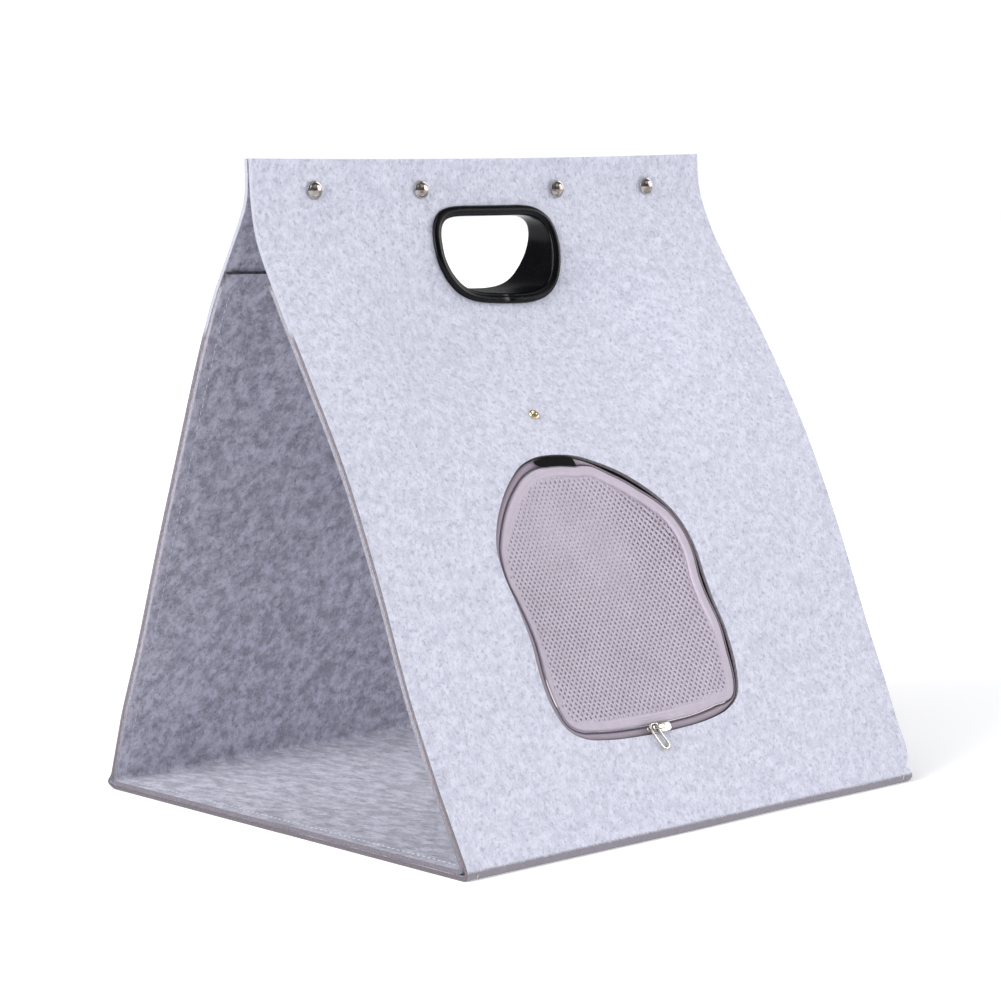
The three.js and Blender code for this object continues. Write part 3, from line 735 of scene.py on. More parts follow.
# Hand grip. A glossy black moulding in one piece: a D-shaped sleeve through both walls, with a
# rounded rim that clasps the felt on each side. The moulding's parting joint shows at the bottom.
GRIP_RIM = 0.0074
GRIP_WALL = 0.0022
rim_section = (
    (GRIP_RIM, 0.0004), (0.00735, 0.0012), (0.0070, 0.0021), (0.0063, 0.0029), (0.0053, 0.0034),
    (0.0041, 0.0036), (0.0031, 0.0034), (0.0024, 0.0030), (0.0020, 0.0026), (0.0016, 0.0026),
    (0.0012, 0.0026), (0.0007, 0.0022), (0.0002, 0.0014), (0.0000, 0.0002),
)
grip_section = [(r, -1, h) for r, h in rim_section]
grip_section += [(r, 1, h) for r, h in reversed(rim_section)]
grip_section += [(GRIP_WALL + 0.0004, 1, 0.0002), (GRIP_WALL, 0.5, 0), (GRIP_WALL, -0.5, 0),
                 (GRIP_WALL + 0.0004, -1, 0.0002)]


def swept_ring(steps, size, at):
    """A closed ring: a grid rolled up both ways, whose UV map runs along and across it."""
    ring = laid_grid(steps, size, lambda i, k: (i / steps, k / size),
                     lambda i, k: at(i % steps, k % size))
    bmesh.ops.remove_doubles(ring, verts=ring.verts, dist=1e-7)
    bmesh.ops.recalc_face_normals(ring, faces=ring.faces)
    return ring


grip_steps_out = loop_normals(grip_loop)


def grip_point(i, k):
    r, side, h = grip_section[k]
    point = grip_loop[i] - grip_steps_out[i] * (GRIP_RIM - r)
    behind = point.copy()
    behind.y += 0.0028 * clamp((GRIP_Z - 0.006 - point.y) / 0.022, 0, 1)
    behind.x -= 0.0025 * hump(point.x, GRIP_X + 0.046, 0.018) * hump(point.y, GRIP_Z - 0.020, 0.018)
    joint = hump(grip_loop[i].x, GRIP_X + 0.004, 0.0016) if grip_loop[i].y < GRIP_Z - 0.03 else 0
    lift = h * (1 - 0.35 * joint)
    front = door_y(point.x, point.y) - lift
    back = back_y(behind.x, behind.y) + lift
    share = (side + 1) / 2
    across = point.lerp(behind, share)
    return (across.x, front * (1 - share) + back * share, across.y)


def moulded_finish():
    """Glossy moulding with a faint orange peel, rubbed a little duller along its rims."""
    dye = Dye("black_moulding")
    place = dye.place()
    peel = dye.noise(place, 900, 2, 0.5)
    worn = dye.ramp(dye.noise(place, 60, 5, 0.7), (0.45, 0), (0.75, 1))
    scratches = dye.streaks(place, (0.3, 0.9, 0.2), (180, 2600, 180), 0.62, 0.70)
    base = dye.mix(worn * 0.5, tint(5, 5, 9), tint(12, 12, 18))
    rough = 0.20 + worn * 0.08 + scratches * 0.10
    return dye.finish(Base_Color=base, Roughness=rough, Specular_IOR_Level=0.16,
                      Normal=dye.bump(peel * 0.5 + scratches * 0.3, 0.00012, 0.5))


grip_ring = swept_ring(GRIP_STEPS, len(grip_section), grip_point)
hand_grip = piece("hand_grip_moulding", grip_ring, "grip_black", moulded_finish(), "hand_grip")
rounded(hand_grip)

# Ridge rivets. Polished domed caps pressed together through both walls, with a thin rolled flange
# that bites into the felt and a smaller, flatter cap on the back.
RIVETS = ((-0.1508, 0.4172), (-0.0616, 0.4160), (0.0598, 0.4146), (0.1454, 0.4152))
RIVET_R = 0.0061
cap_front = ((0, 0.0032), (0.0016, 0.0031), (0.0031, 0.0027), (0.0043, 0.0020), (0.0050, 0.0012),
             (0.0053, 0.0008), (0.0058, 0.0008), (RIVET_R, 0.0005), (RIVET_R, 0.0001),
             (0.0056, -0.0001), (0.0021, -0.0001))
cap_back = ((0.0021, -0.0001), (0.0050, -0.0001), (0.0055, 0.0001), (0.0055, 0.0006),
            (0.0050, 0.0009), (0.0040, 0.0014), (0.0024, 0.0018), (0, 0.0019))


def turned(profile, steps):
    """A round piece spun about Z from a profile of radius and height that ends on the axis."""
    shape = bmesh.new()
    points = [shape.verts.new((r, 0, h)) for r, h in profile]
    edges = [shape.edges.new(pair) for pair in zip(points, points[1:])]
    bmesh.ops.spin(shape, geom=points + edges, cent=(0, 0, 0), axis=(0, 0, 1),
                   angle=2 * math.pi, steps=steps, use_merge=True)
    bmesh.ops.remove_doubles(shape, verts=shape.verts, dist=1e-6)
    bmesh.ops.recalc_face_normals(shape, faces=shape.faces)
    return shape


def metal_finish(name, bright, dull, gloss):
    """Plated metal: polished, with fine scratches and a soft bloom that dulls it in patches.
    On the rivets both tints are darkened and browned, a painted reflection of dark surroundings.
    """
    dye = Dye(name)
    place = dye.place()
    bloom = dye.ramp(dye.noise(place, 260, 4, 0.65), (0.40, 0), (0.72, 1))
    scratches = dye.streaks(place, (0.5, 0.2, 1.0), (300, 6000, 300), 0.58, 0.68)
    base = dye.mix(bloom, bright, dull)
    rough = gloss + bloom * 0.12 + scratches * 0.10
    return dye.finish(Base_Color=base, Roughness=rough, Metallic=1.0,
                      Normal=dye.bump(scratches * 0.4 + bloom * 0.2, 0.00006, 0.5))


# The rivets' tints are darkened and browned: a painted reflection of dark surroundings, laid in
# patches by the bloom.
rivet_metal = metal_finish("rivet_plate", tint(176, 170, 167), tint(104, 93, 87), 0.10)
for number, (x, z) in enumerate(RIVETS, 1):
    under = z - RIVET_R
    y_front = min(door_y(x - 0.005, under), door_y(x + 0.005, under)) - 0.0002
    y_back = max(back_y(x - 0.005, under), back_y(x + 0.005, under)) + 0.0002
    depth = y_back - y_front
    profile = [(r, h + depth) for r, h in cap_front] + [(r, -h) for r, h in cap_back]
    rivet = turned(profile, 28)
    lean = Matrix.Rotation(math.radians(90), 4, "X")
    bmesh.ops.transform(rivet, matrix=Matrix.Translation((x, y_back, z)) @ lean,
                        verts=rivet.verts)
    rounded(piece(f"rivet_{number}", rivet, "rivet_metal", rivet_metal, f"ridge_rivet_{number}"))

# Door stud. A small brass press stud over the door, clinched through both strips, that holds the
# door panel when it is rolled up.
STUD_X = -0.0268
STUD_Z = 0.2653


def door_out(x, z):
    """The door wall's outward direction."""
    across, up = slope_of(-1, x, z)
    return Vector((across, -1, up)).normalized()


def over_door(x, z, height):
    """A point at a height over the door wall's outer face."""
    return Vector((x, door_y(x, z), z)) + door_out(x, z) * height


def facing_matrix(x, z, height):
    """Places a piece modelled on Z so that its Z points out of the door wall."""
    out = door_out(x, z)
    along = (Vector((1, 0, 0)) - out * out.x).normalized()
    turn = Matrix((along, out.cross(along), out)).transposed().to_4x4()
    return Matrix.Translation(over_door(x, z, height)) @ turn


stud = turned(((0, 0.0009), (0.0011, 0.0008), (0.0016, 0.0011), (0.0021, 0.0018),
               (0.0029, 0.0018), (0.0036, 0.0012), (0.0039, 0.0004), (0.0038, 0.0001),
               (0.0022, 0.0001), (0.0022, -0.0068), (0.0040, -0.0069), (0.0040, -0.0077),
               (0.0015, -0.0078), (0, -0.0078)), 26)
bmesh.ops.transform(stud, matrix=facing_matrix(STUD_X, STUD_Z, 0), verts=stud.verts)
door_stud = piece("press_stud", stud, "stud_metal",
                  metal_finish("stud_brass", tint(226, 210, 176), tint(186, 160, 116), 0.20),
                  "door_stud")
rounded(door_stud)

# Door backing. A black woven tape sewn behind the felt's cut edge, which carries the zip and
# shows as a dark sliver wherever the zip has shrunk back from the felt.
door_steps_out = loop_normals(door_loop)


def door_point(i, inset, height):
    point = door_loop[i] - door_steps_out[i] * inset
    return over_door(point.x, point.y, height)


def ring_on_door(section, inset_at=lambda i: 0):
    return swept_ring(DOOR_STEPS, len(section),
                      lambda i, k: door_point(i, section[k][0] + inset_at(i), section[k][1]))


def tape_finish(name, thread, gap, ribs, sheen):
    """Woven tape: ribs across it and a fine weft between them."""
    dye = Dye(name)
    flat = dye.flat_cloth()
    rib = dye.node("ShaderNodeTexWave", {"bands_direction": "X"}, {
        "Vector": flat, "Scale": ribs, "Distortion": 0.4, "Detail": 1.0})
    fuzz = dye.noise(dye.place(), 1800, 3, 0.6)
    base = dye.mix(rib * 0.6 + fuzz * 0.4, gap, thread)
    return dye.finish(Base_Color=base, Roughness=0.85, Sheen_Weight=sheen,
                      Specular_IOR_Level=0.15,
                      Normal=dye.bump(rib * 0.6 + fuzz * 0.4, 0.0003, 0.6))


backing_section = ((-0.0064, -0.0037), (-0.0020, -0.0036), (0.0012, -0.0036), (0.0033, -0.0037),
                   (0.0033, -0.0043), (-0.0064, -0.0043))
door_backing = piece("door_backing_tape", ring_on_door(backing_section), "black_tape",
                     tape_finish("black_tape_weave", tint(18, 18, 22), tint(6, 6, 8), 90, 0.02),
                     "door_backing")
door_round = sum((b - a).length for a, b in zip(door_loop, door_loop[1:] + door_loop[:1]))

# Door zip. A mauve coil zip round the whole door: a flat woven tape, rolled at its outer edge, and
# in a slit inside it the closed coil, one fine tooth after another. It has shrunk back from the
# felt at the right, where the binding hides most of it.
ZIP_WIDTH = 0.0054
TOOTH_PITCH = 0.00115
TOOTH_HALF = 0.00065
TOOTH_THICK = 0.00040


def near(point, x, z, width):
    return math.exp(-((point - Vector((x, z))).length / width) ** 2)


def zip_slip(i):
    point = door_loop[i]
    moved = 0.0030 * near(point, 0.026, 0.223, 0.025) + 0.0020 * near(point, 0.065, 0.150, 0.017)
    return 0.0005 + min(0.0024, moved + 0.0019 * near(point, 0.066, 0.105, 0.018))


def zip_shows(i):
    """How much of the zip's width shows between felt and binding."""
    point = door_loop[i]
    start = 0.045 - 0.057 * clamp((point.y - 0.150) / 0.055, 0, 1)
    hidden = 0.8 * clamp((point.x - start) / 0.014, 0, 1)
    hidden += 0.65 * near(point, -0.102, 0.166, 0.022) + 0.25 * near(point, -0.084, 0.070, 0.014)
    return 1 - hidden


zip_section = ((0, -0.0031), (0, -0.0025), (0.0003, -0.0021), (0.0010, -0.0018),
               (0.0024, -0.0017), (0.0033, -0.0020), (0.0039, -0.0028), (0.0054, -0.0029),
               (0.0054, -0.0032))


def zip_point(i, k):
    inset, height = zip_section[k]
    return door_point(i, zip_slip(i) + inset * zip_shows(i), height)


zip_tape = swept_ring(DOOR_STEPS, len(zip_section), zip_point)
piece("zip_tape", zip_tape, "zip_tape",
      tape_finish("mauve_tape", tint(178, 166, 180), tint(140, 128, 142), 240, 0.2), "door_zip")

teeth = []
coil_line = [door_point(i % DOOR_STEPS, zip_slip(i % DOOR_STEPS)
                        + 0.0047 * zip_shows(i % DOOR_STEPS), -0.0026)
             for i in range(DOOR_STEPS + 1)]
for middle, along in along_path(coil_line, 0, TOOTH_PITCH)[:-1]:
    out = door_out(middle.x, middle.z)
    across = along.cross(out).normalized()
    teeth.append((middle, across * TOOTH_HALF, along * TOOTH_THICK, out * TOOTH_THICK))


# The coil's tints are darker than the tape's: partly the coil's own colour, partly painted shade
# for the slit it sits in.
piece("zip_coil", beads(teeth, BEAD_SIDES, BEAD_RINGS), "zip_tape", yarn_finish(
    "zip_coil_nylon", 1500, tint(78, 68, 80), tint(104, 92, 106), 0.45, 0, 0.0001, 0.4))

# Mesh binding. A bias strip of plain mauve cloth folded over the mesh's edge and sewn to the zip.
# It is lightly padded, and puckers a little where it is drawn round the corners.
BINDING = 0.0062
DRAWN_NARROW = 0.52
PUCKER = 0.00018


def binding_inset(i):
    return (zip_slip(i) + ZIP_WIDTH * zip_shows(i) + 0.0005
            + 0.0006 * near(door_loop[i], -0.092, 0.088, 0.024))


binding_section = ((0, -0.0033), (0, -0.0023), (0.05, -0.0017), (0.14, -0.0013), (0.26, -0.0012),
                   (0.32, -0.0014), (0.38, -0.0012), (0.56, -0.0012), (0.62, -0.0015),
                   (0.68, -0.0013), (0.86, -0.0015), (0.96, -0.0019), (1, -0.0025),
                   (1, -0.0033))


def binding_width(i):
    """The binding is drawn narrow down the left side of the door."""
    point = door_loop[i]
    left = clamp((-0.070 - point.x) / 0.020, 0, 1) * clamp((0.205 - point.y) / 0.030, 0, 1)
    return BINDING * (1 - DRAWN_NARROW * left)


def binding_point(i, k):
    across, height = binding_section[k]
    pucker = PUCKER * math.sin(i * 1.9 + 2.2 * math.sin(i * 0.37)) * math.sin(math.pi * across)
    return door_point(i, binding_inset(i) + across * binding_width(i), height + pucker)


def binding_finish():
    """Plain weave, its threads a third of a millimetre apart."""
    dye = Dye("mauve_binding_cloth")
    place = dye.place()
    weave = dye.noise(place, 2300, 2, 0.5)
    soil = dye.noise(place, 110, 4, 0.6)
    base = dye.mix(weave, tint(178, 167, 182), tint(204, 194, 208))
    base = dye.mix(dye.ramp(soil, (0.45, 0), (0.75, 0.3)), base, tint(166, 154, 170))
    return dye.finish(Base_Color=base, Roughness=0.85, Sheen_Weight=0.25,
                      Normal=dye.bump(weave, 0.0002, 0.7))


binding_cloth = swept_ring(DOOR_STEPS, len(binding_section), binding_point)
binding = piece("mesh_binding_cloth", binding_cloth, "binding_mauve", binding_finish(),
                "mesh_binding")

# Mesh door. A panel of mauve air mesh knitted in polyester: slanting oval holes about 3 mm long in
# staggered rows, drawn small where the cloth is slack. It hangs inwards in the middle, and its
# plain margin is pleated at the upper right.
MESH_ACROSS = 0.0042
MESH_DOWN = 0.0053
MESH_X = -0.017
MESH_Z = 0.150
MESH_CELLS = 66
MESH_THICK = 0.0005
MESH_SUNK = 0.0016
MESH_BELLY = 0.0070
WALL_LEAN = 0.9
HOLE_LONG = 0.00155
HOLE_WIDE = 0.00068
HOLE_SLANT = math.radians(-54)
SMALLEST_HOLE = 0.4
YARN_HALF = 0.0007
CORNER_CUT = 0.0005


def mesh_height(x, z):
    away = math.hypot((x + 0.015) / 0.082, (z - 0.150) / 0.084)
    uneven = 1 + 0.25 * (x + 0.017) / 0.080 + 0.15 * (z - 0.150) / 0.084
    return -MESH_SUNK - MESH_BELLY * max(0, 1 - away * away) * uneven


mesh_cloth = bmesh.new()
from_rim = mesh_cloth.verts.layers.float.new("from_rim")
flat = mesh_cloth.loops.layers.uv.new("cloth")
bmesh.ops.create_grid(mesh_cloth, x_segments=MESH_CELLS, y_segments=MESH_CELLS,
                      size=MESH_CELLS / 2)
bmesh.ops.rotate(mesh_cloth, cent=(0, 0, 0), verts=mesh_cloth.verts,
                 matrix=Matrix.Rotation(math.radians(45), 3, "Z"))
bmesh.ops.scale(mesh_cloth, verts=mesh_cloth.verts,
                vec=(MESH_ACROSS / math.sqrt(2), MESH_DOWN / math.sqrt(2), 1))
mesh_rim = [door_loop[i] - door_steps_out[i] * (binding_inset(i) + 0.48 * binding_width(i))
            for i in range(DOOR_STEPS)]
rim_finder = KDTree(4 * DOOR_STEPS)
for i, point in enumerate(smooth_loop(mesh_rim, 4 * DOOR_STEPS)):
    rim_finder.insert((point.x, point.y, 0), i)
rim_finder.balance()


def on_wall(point):
    """Where a point of the flat mesh lies across and up the door wall."""
    return MESH_X + point.x, MESH_Z + point.y * WALL_LEAN


def trim_to_rim(cloth):
    spare = [face for face in cloth.faces
             if not inside(mesh_rim, *on_wall(face.calc_center_median()))]
    bmesh.ops.delete(cloth, geom=spare, context="FACES")


def turn_out(cloth):
    """Turns a sheet's faces towards the outside of the door wall."""
    bmesh.ops.recalc_face_normals(cloth, faces=cloth.faces)
    cloth.faces.ensure_lookup_table()
    if cloth.faces[0].normal.y > 0:
        bmesh.ops.reverse_faces(cloth, faces=cloth.faces)


def keep_flat_place(point, flat):
    for loop in point.link_loops:
        loop[flat].uv = (point.co.x, point.co.y)


trim_to_rim(mesh_cloth)
cells = list(mesh_cloth.faces)
crossings = set(mesh_cloth.verts)
bmesh.ops.inset_individual(mesh_cloth, faces=cells, thickness=YARN_HALF, use_even_offset=True)
corners = list({point for face in cells for point in face.verts})
bmesh.ops.bevel(mesh_cloth, geom=corners, offset=CORNER_CUT, offset_type="OFFSET",
                affect="VERTICES", segments=1, profile=0.5, material=-1)


def rim_distance(x, z):
    return rim_finder.find((x, z, 0))[2]


open_holes = []
for face in [face for face in mesh_cloth.faces if len(face.verts) == 8]:
    middle = face.calc_center_median()
    x, z = on_wall(middle)
    starts = 0.0024 - 0.0016 * clamp((-0.045 - x) / 0.015, 0, 1)
    size = clamp((rim_distance(x, z) - starts) / 0.0032, 0, 1)
    size *= 1 - 0.42 * hump(x, -0.052, 0.034) * hump(z, 0.196, 0.030)
    size *= 1 - 0.35 * hump(x, -0.006, 0.022) * hump(z, 0.178, 0.030)
    size *= 0.86 + 0.18 * hump(x, 0.036, 0.034) * hump(z, 0.188, 0.034)
    for point in face.verts:
        turn = math.atan2(point.co.y - middle.y, point.co.x - middle.x)
        reach = 1 / math.hypot(math.cos(turn - HOLE_SLANT) / HOLE_LONG,
                               math.sin(turn - HOLE_SLANT) / HOLE_WIDE)
        reach *= max(size, SMALLEST_HOLE)
        point.co = middle + Vector((math.cos(turn), math.sin(turn), 0)) * reach
    if size > SMALLEST_HOLE:
        open_holes.append(face)
bmesh.ops.delete(mesh_cloth, geom=open_holes, context="FACES")
for point in mesh_cloth.verts:
    keep_flat_place(point, flat)
    x, z = on_wall(point.co)
    point[from_rim] = rim_distance(x, z)
    raised = 0.0002 if point in crossings else -0.0001
    point.co = over_door(x, z, mesh_height(x, z) + raised)
turn_out(mesh_cloth)


def mesh_finish():
    """Knitted polyester: a fine loop texture, and pleats along the rim at the upper right,
    with painted shade in their creases.
    """
    dye = Dye("mauve_air_mesh")
    place = dye.place()
    loops = dye.noise(place, 2400, 2, 0.5)
    tone = dye.noise(place, 45, 3, 0.5)
    base = dye.mix(loops, tint(170, 160, 175), tint(210, 200, 215))
    base = dye.mix(dye.ramp(tone, (0.40, 0), (0.70, 0.3)), base, tint(166, 156, 171))
    rim = dye.node("ShaderNodeAttribute", {"attribute_name": "from_rim"}, None, 2)
    waves = rim.sum("SINE", rim * 1800 + 0.6)
    lines = dye.ramp(waves, (0.45, 0), (0.95, 1)) * dye.ramp(rim * 50, (0.475, 1), (0.65, 0))
    gather = dye.node("ShaderNodeVectorMath", {"operation": "DISTANCE"},
                      {0: place, 1: over_door(0.050, 0.196, 0)}, 1)
    pleats = lines * dye.ramp(gather * 10, (0.18, 1), (0.38, 0))
    # The pleat lines are darkened with painted shade, as in the creases of folds.
    base = dye.mix(pleats * 0.55, base, tint(120, 106, 122))
    return dye.finish(Base_Color=base, Roughness=0.7, Sheen_Weight=0.2,
                      Normal=dye.bump(loops * 0.4 - pleats * 1.2, 0.0004, 0.6))


mesh_door = piece("mesh_panel", mesh_cloth, "mesh_mauve", mesh_finish(), "mesh_door")
add_modifier(mesh_door, "SOLIDIFY", thickness=MESH_THICK, offset=-1)
mesh_area = loop_area(mesh_rim) / WALL_LEAN

# Mesh backing. The air mesh's second layer, a closely knitted net behind the first and held off it
# by spacer yarns, so that the holes show shaded cloth. It is cut and sewn in with the front layer.
BACK_LAYER = 0.0012
BACK_THICK = 0.0004
BACK_CELLS = 56
BACK_HALF = 0.095

mesh_back = bmesh.new()
flat = mesh_back.loops.layers.uv.new("cloth")
bmesh.ops.create_grid(mesh_back, x_segments=BACK_CELLS, y_segments=BACK_CELLS, size=BACK_HALF)
trim_to_rim(mesh_back)
for point in mesh_back.verts:
    keep_flat_place(point, flat)
    x, z = on_wall(point.co)
    if point.is_boundary:
        x, z = nearest(mesh_rim, x, z)
    point.co = over_door(x, z, mesh_height(x, z) - BACK_LAYER)
turn_out(mesh_back)
mesh_backing = piece("mesh_back_layer", mesh_back, "mesh_mauve", yarn_finish(
    "mauve_mesh_backing", 1500, tint(176, 166, 182), tint(206, 196, 211), 0.9, 0, 0.0002, 0.5))
add_modifier(mesh_backing, "SOLIDIFY", thickness=BACK_THICK, offset=-1)

# Door tab. A black ribbed ribbon, heat-cut square at its right end and tapered at its left, sewn
# over the zip at the top of the door.
TAB_LEFT = -0.0463
TAB_LENGTH = 0.0326
TAB_WIDTH = 0.0055
TAB_TOP = 0.2388
TAB_SKEW = 0.0008
TAB_THICK = 0.0011
TAB_STEPS = 16
TAB_ROWS = 5


def tab_point(i, j):
    a, b = i / TAB_STEPS, j / TAB_ROWS
    x = TAB_LEFT + TAB_LENGTH * a + TAB_SKEW * (1 - b)
    edge = TAB_TOP - 5.5 * (x + 0.030) ** 2
    width = TAB_WIDTH * (0.45 + 0.55 * min(1, a / 0.22) ** 0.7)
    return over_door(x, edge - width * (1 - b), -0.0001 + 0.0003 * math.sin(math.pi * b))


tab_ribbon = laid_grid(TAB_STEPS, TAB_ROWS,
                       lambda i, j: (i / TAB_STEPS * TAB_LENGTH, j / TAB_ROWS * TAB_WIDTH),
                       tab_point)
turn_out(tab_ribbon)
tab = piece("ribbon_tab", tab_ribbon, "black_tape",
            tape_finish("black_ribbon", tint(11, 11, 14), tint(3, 3, 4), 700, 0.0), "door_tab")
give_thickness(tab, TAB_THICK, 0.0002)

# Zip slider. A die-cast slider in pale gold plating that sits astride the coil at the bottom of the
# door, with an arched bridge over it.
SLIDER_X = -0.015
SLIDER_Z = 0.0653
BODY = (
    (-0.0072, -0.0032), (0.0010, -0.0039), (0.0085, -0.0032), (0.0099, -0.0020),
    (0.0099, 0.0013), (0.0084, 0.0028), (0.0010, 0.0033), (-0.0072, 0.0026),
    (-0.0082, 0.0012), (-0.0082, -0.0018),
)
END_STOP = ((-0.0103, -0.0017), (-0.0091, -0.0017), (-0.0087, 0), (-0.0091, 0.0013),
            (-0.0103, 0.0012), (-0.0107, -0.0003))
CORE = ((-0.0060, -0.0015), (0.0060, -0.0015), (0.0060, 0.0021), (-0.0060, 0.0021))
BRIDGE = (
    (-0.0066, 0.0018), (-0.0066, 0.0034), (-0.0060, 0.0043), (-0.0048, 0.0048),
    (-0.0015, 0.0048), (0.0022, 0.0038), (0.0060, 0.0018), (0.0036, 0.0018),
    (0.0012, 0.0031), (-0.0012, 0.0037), (-0.0042, 0.0037), (-0.0050, 0.0032),
    (-0.0051, 0.0018),
)


def add_plate(shape, outline, low, high, edge):
    """Adds an outline cut from sheet metal, from one height to another, with rounded edges."""
    rim = [shape.verts.new((x, y, low)) for x, y in outline]
    sides = [shape.edges.new(pair) for pair in zip(rim, rim[1:] + rim[:1])]
    bottom = bmesh.ops.contextual_create(shape, geom=sides)["faces"]
    raised = bmesh.ops.extrude_face_region(shape, geom=bottom, use_keep_orig=True)["geom"]
    top = [part for part in raised if isinstance(part, bmesh.types.BMVert)]
    bmesh.ops.translate(shape, vec=(0, 0, high - low), verts=top)
    faces = set(bottom)
    for point in rim + top:
        faces.update(point.link_faces)
    bmesh.ops.recalc_face_normals(shape, faces=list(faces))
    edges = {side for face in faces for side in face.edges
             if len(side.link_faces) == 2 and side.calc_face_angle(0) > 0.7}
    bevelled = bmesh.ops.bevel(shape, geom=list(edges), offset=edge, offset_type="OFFSET",
                               affect="EDGES", segments=2, profile=0.5, material=-1,
                               clamp_overlap=True)
    points = {point for face in faces if face.is_valid for point in face.verts}
    return list(points | set(bevelled["verts"]))


slider = bmesh.new()
add_plate(slider, BODY, 0.00045, 0.00195, 0.0005)
add_plate(slider, END_STOP, 0.0004, 0.0021, 0.0004)
add_plate(slider, CORE, -0.00105, 0.0006, 0.0002)
bridge = bmesh.new()
add_plate(bridge, BRIDGE, -0.0013, 0.0013, 0.0003)
bmesh.ops.rotate(bridge, cent=(0, 0, 0), matrix=Matrix.Rotation(math.radians(90), 3, "X"),
                 verts=bridge.verts)
bridge_mesh = mesh_from("slider_bridge", bridge)
slider.from_mesh(bridge_mesh)
bpy.data.meshes.remove(bridge_mesh)
slider_place = facing_matrix(SLIDER_X, SLIDER_Z, 0)
bmesh.ops.transform(slider, matrix=slider_place, verts=slider.verts)
slider_metal = metal_finish("slider_plate", tint(206, 202, 196), tint(150, 143, 133), 0.20)
piece("zip_slider_body", slider, "slider_metal", slider_metal, "zip_slider")

# Zip pull. A teardrop loop stamped from the same metal, hooked through the bridge and hanging
# down over the felt.
PULL_OUTER = ((-0.0090, 0.0034), (-0.0094, -0.0015), (-0.0034, -0.0148), (-0.0006, -0.0160),
              (0.0032, -0.0146), (0.0039, -0.0122), (-0.0017, -0.0015), (-0.0020, 0.0034))
PULL_INNER = ((-0.0076, 0.0022), (-0.0079, -0.0019), (-0.0019, -0.0130), (-0.0006, -0.0136),
              (0.0012, -0.0130), (0.0019, -0.0116), (-0.0032, -0.0018), (-0.0033, 0.0022))
PULL_TILT = 0.07
PULL_HEIGHT = 0.00284
pull_section = ((0.0, -0.0002), (0.0, 0.0002), (0.16, 0.0005), (0.84, 0.0005), (1.0, 0.0002),
                (1.0, -0.0002), (0.84, -0.0005), (0.16, -0.0005))


def eased(outline, steps):
    """An outline as a closed loop whose corners are rounded, with steps points a corner."""
    loop = []
    size = len(outline)
    for i in range(size):
        before, corner, after = (Vector(outline[(i + k) % size]) for k in (-1, 0, 1))
        start = corner.lerp(before, 0.35)
        end = corner.lerp(after, 0.35)
        for step in range(steps):
            t = step / (steps - 1)
            loop.append(start.lerp(corner, t).lerp(corner.lerp(end, t), t))
    return loop


pull_outside, pull_window = (eased(outline, 8) for outline in (PULL_OUTER, PULL_INNER))


def pull_point(i, k):
    share, height = pull_section[k]
    across = pull_outside[i].lerp(pull_window[i], share)
    return (across.x, across.y, height)


zip_pull = swept_ring(len(pull_outside), len(pull_section), pull_point)
bmesh.ops.transform(
    zip_pull, verts=zip_pull.verts,
    matrix=slider_place @ Matrix.Translation((0, 0, PULL_HEIGHT)) @ Matrix.Rotation(
        PULL_TILT, 4, "X"))
piece("zip_pull_loop", zip_pull, "slider_metal", slider_metal, "zip_pull")

# Studio. A plain white floor, lit a little from below so that it has no horizon, broad lights from
# both sides and the front right, even light from all round, and the camera at the picture's
# viewpoint.
FLOOR_SIZE = 40
CAMERA_PLACE = Vector((-1.2584, -1.4717, 0.4140))
CAMERA_YAW = math.radians(40.533)
CAMERA_PITCH = math.radians(6.281)
CAMERA_ROLL = math.radians(-1.301)
SENSOR = 36
LENS = 101.02

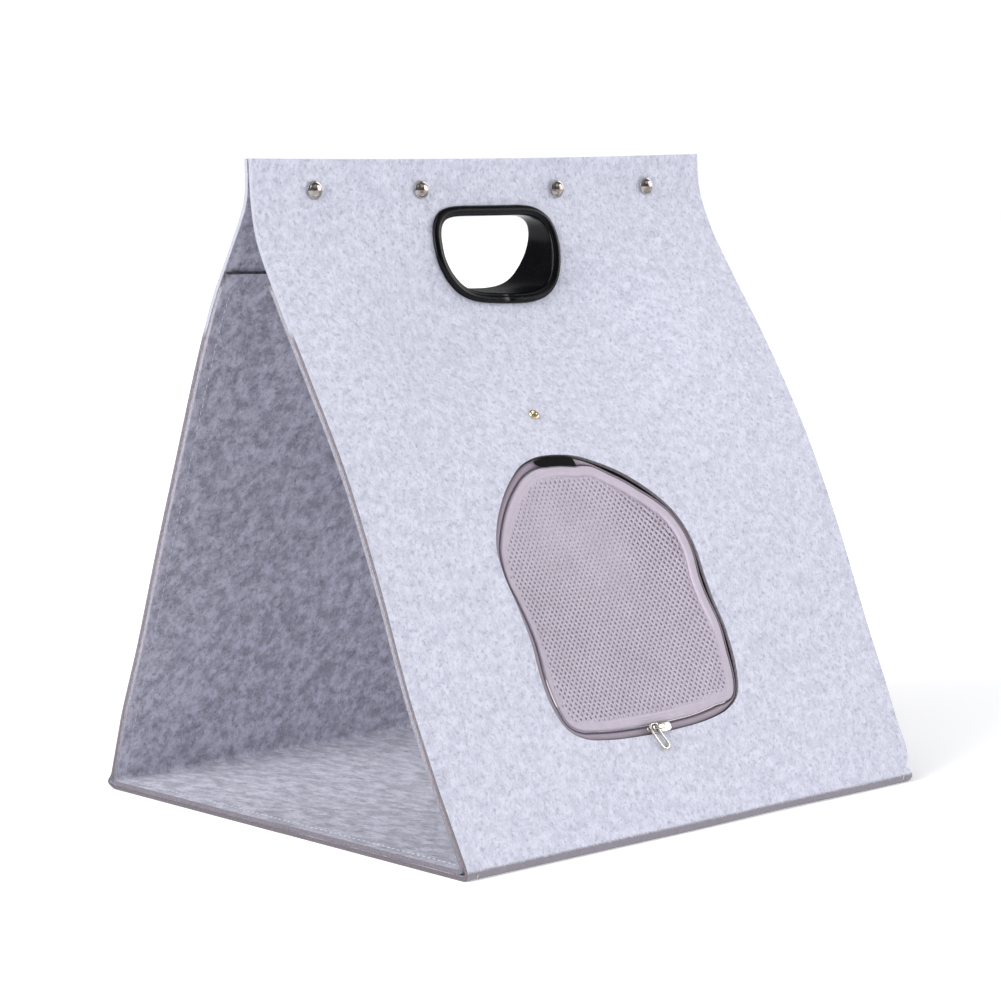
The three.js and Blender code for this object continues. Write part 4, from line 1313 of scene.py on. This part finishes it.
floor_sheet = bmesh.new()
bmesh.ops.create_grid(floor_sheet, x_segments=4, y_segments=4, size=FLOOR_SIZE / 2)
floor = put_in_scene("studio_floor", mesh_from("studio_floor", floor_sheet))
floor_dye = Dye("studio_paper")
floor_grain = floor_dye.noise(floor_dye.place(), 3, 3, 0.5)
floor.data.materials.append(floor_dye.finish(
    Base_Color=floor_dye.mix(floor_grain, tint(247, 247, 249), tint(250, 250, 252)),
    Roughness=1.0, Specular_IOR_Level=0, Emission_Color=(1, 1, 1, 1), Emission_Strength=0.30))

scene = bpy.context.scene
scene.view_settings.view_transform = "Standard"
world = bpy.data.worlds.new("studio_room")
scene.world = world
world.use_nodes = True
room = world.node_tree.nodes["Background"]
room.inputs["Color"].default_value = (0.96, 0.97, 1.0, 1)
seen = world.node_tree.nodes.new("ShaderNodeLightPath")
strength = world.node_tree.nodes.new("ShaderNodeMapRange")
strength.inputs["To Min"].default_value = 0.18
strength.inputs["To Max"].default_value = 1.05
world.node_tree.links.new(seen.outputs["Is Camera Ray"], strength.inputs["Value"])
world.node_tree.links.new(strength.outputs["Result"], room.inputs["Strength"])


def broad_light(name, comes_from, power, spread):
    lamp = bpy.data.lights.new(name, "SUN")
    lamp.energy = power
    lamp.angle = math.radians(spread)
    made = put_in_scene(name, lamp)
    made.location = Vector(comes_from) * 3
    made.rotation_euler = Vector(comes_from).to_track_quat("Z", "Y").to_euler()


for light in (("high_left_light", (-0.60, -0.04, 0.78), 1.3, 50),
              ("low_left_light", (-0.96, 0, 0.27), 3.0, 40),
              ("low_right_light", (0.90, -0.40, 0.18), 2.4, 50),
              ("front_right_light", (0.30, -0.70, 0.65), 0.25, 40)):
    broad_light(*light)

ahead = Vector((math.sin(CAMERA_YAW) * math.cos(CAMERA_PITCH),
                math.cos(CAMERA_YAW) * math.cos(CAMERA_PITCH), -math.sin(CAMERA_PITCH)))
right = Vector((math.cos(CAMERA_YAW), -math.sin(CAMERA_YAW), 0))
upright = right.cross(ahead)
across = math.cos(CAMERA_ROLL) * right + math.sin(CAMERA_ROLL) * upright
upward = math.cos(CAMERA_ROLL) * upright - math.sin(CAMERA_ROLL) * right
camera_data = bpy.data.cameras.new("camera")
camera_data.sensor_width = SENSOR
camera_data.lens = LENS
camera = put_in_scene("camera", camera_data)
camera.matrix_world = Matrix.Translation(CAMERA_PLACE) @ Matrix(
    (across, upward, -ahead)).transposed().to_4x4()
scene.camera = camera
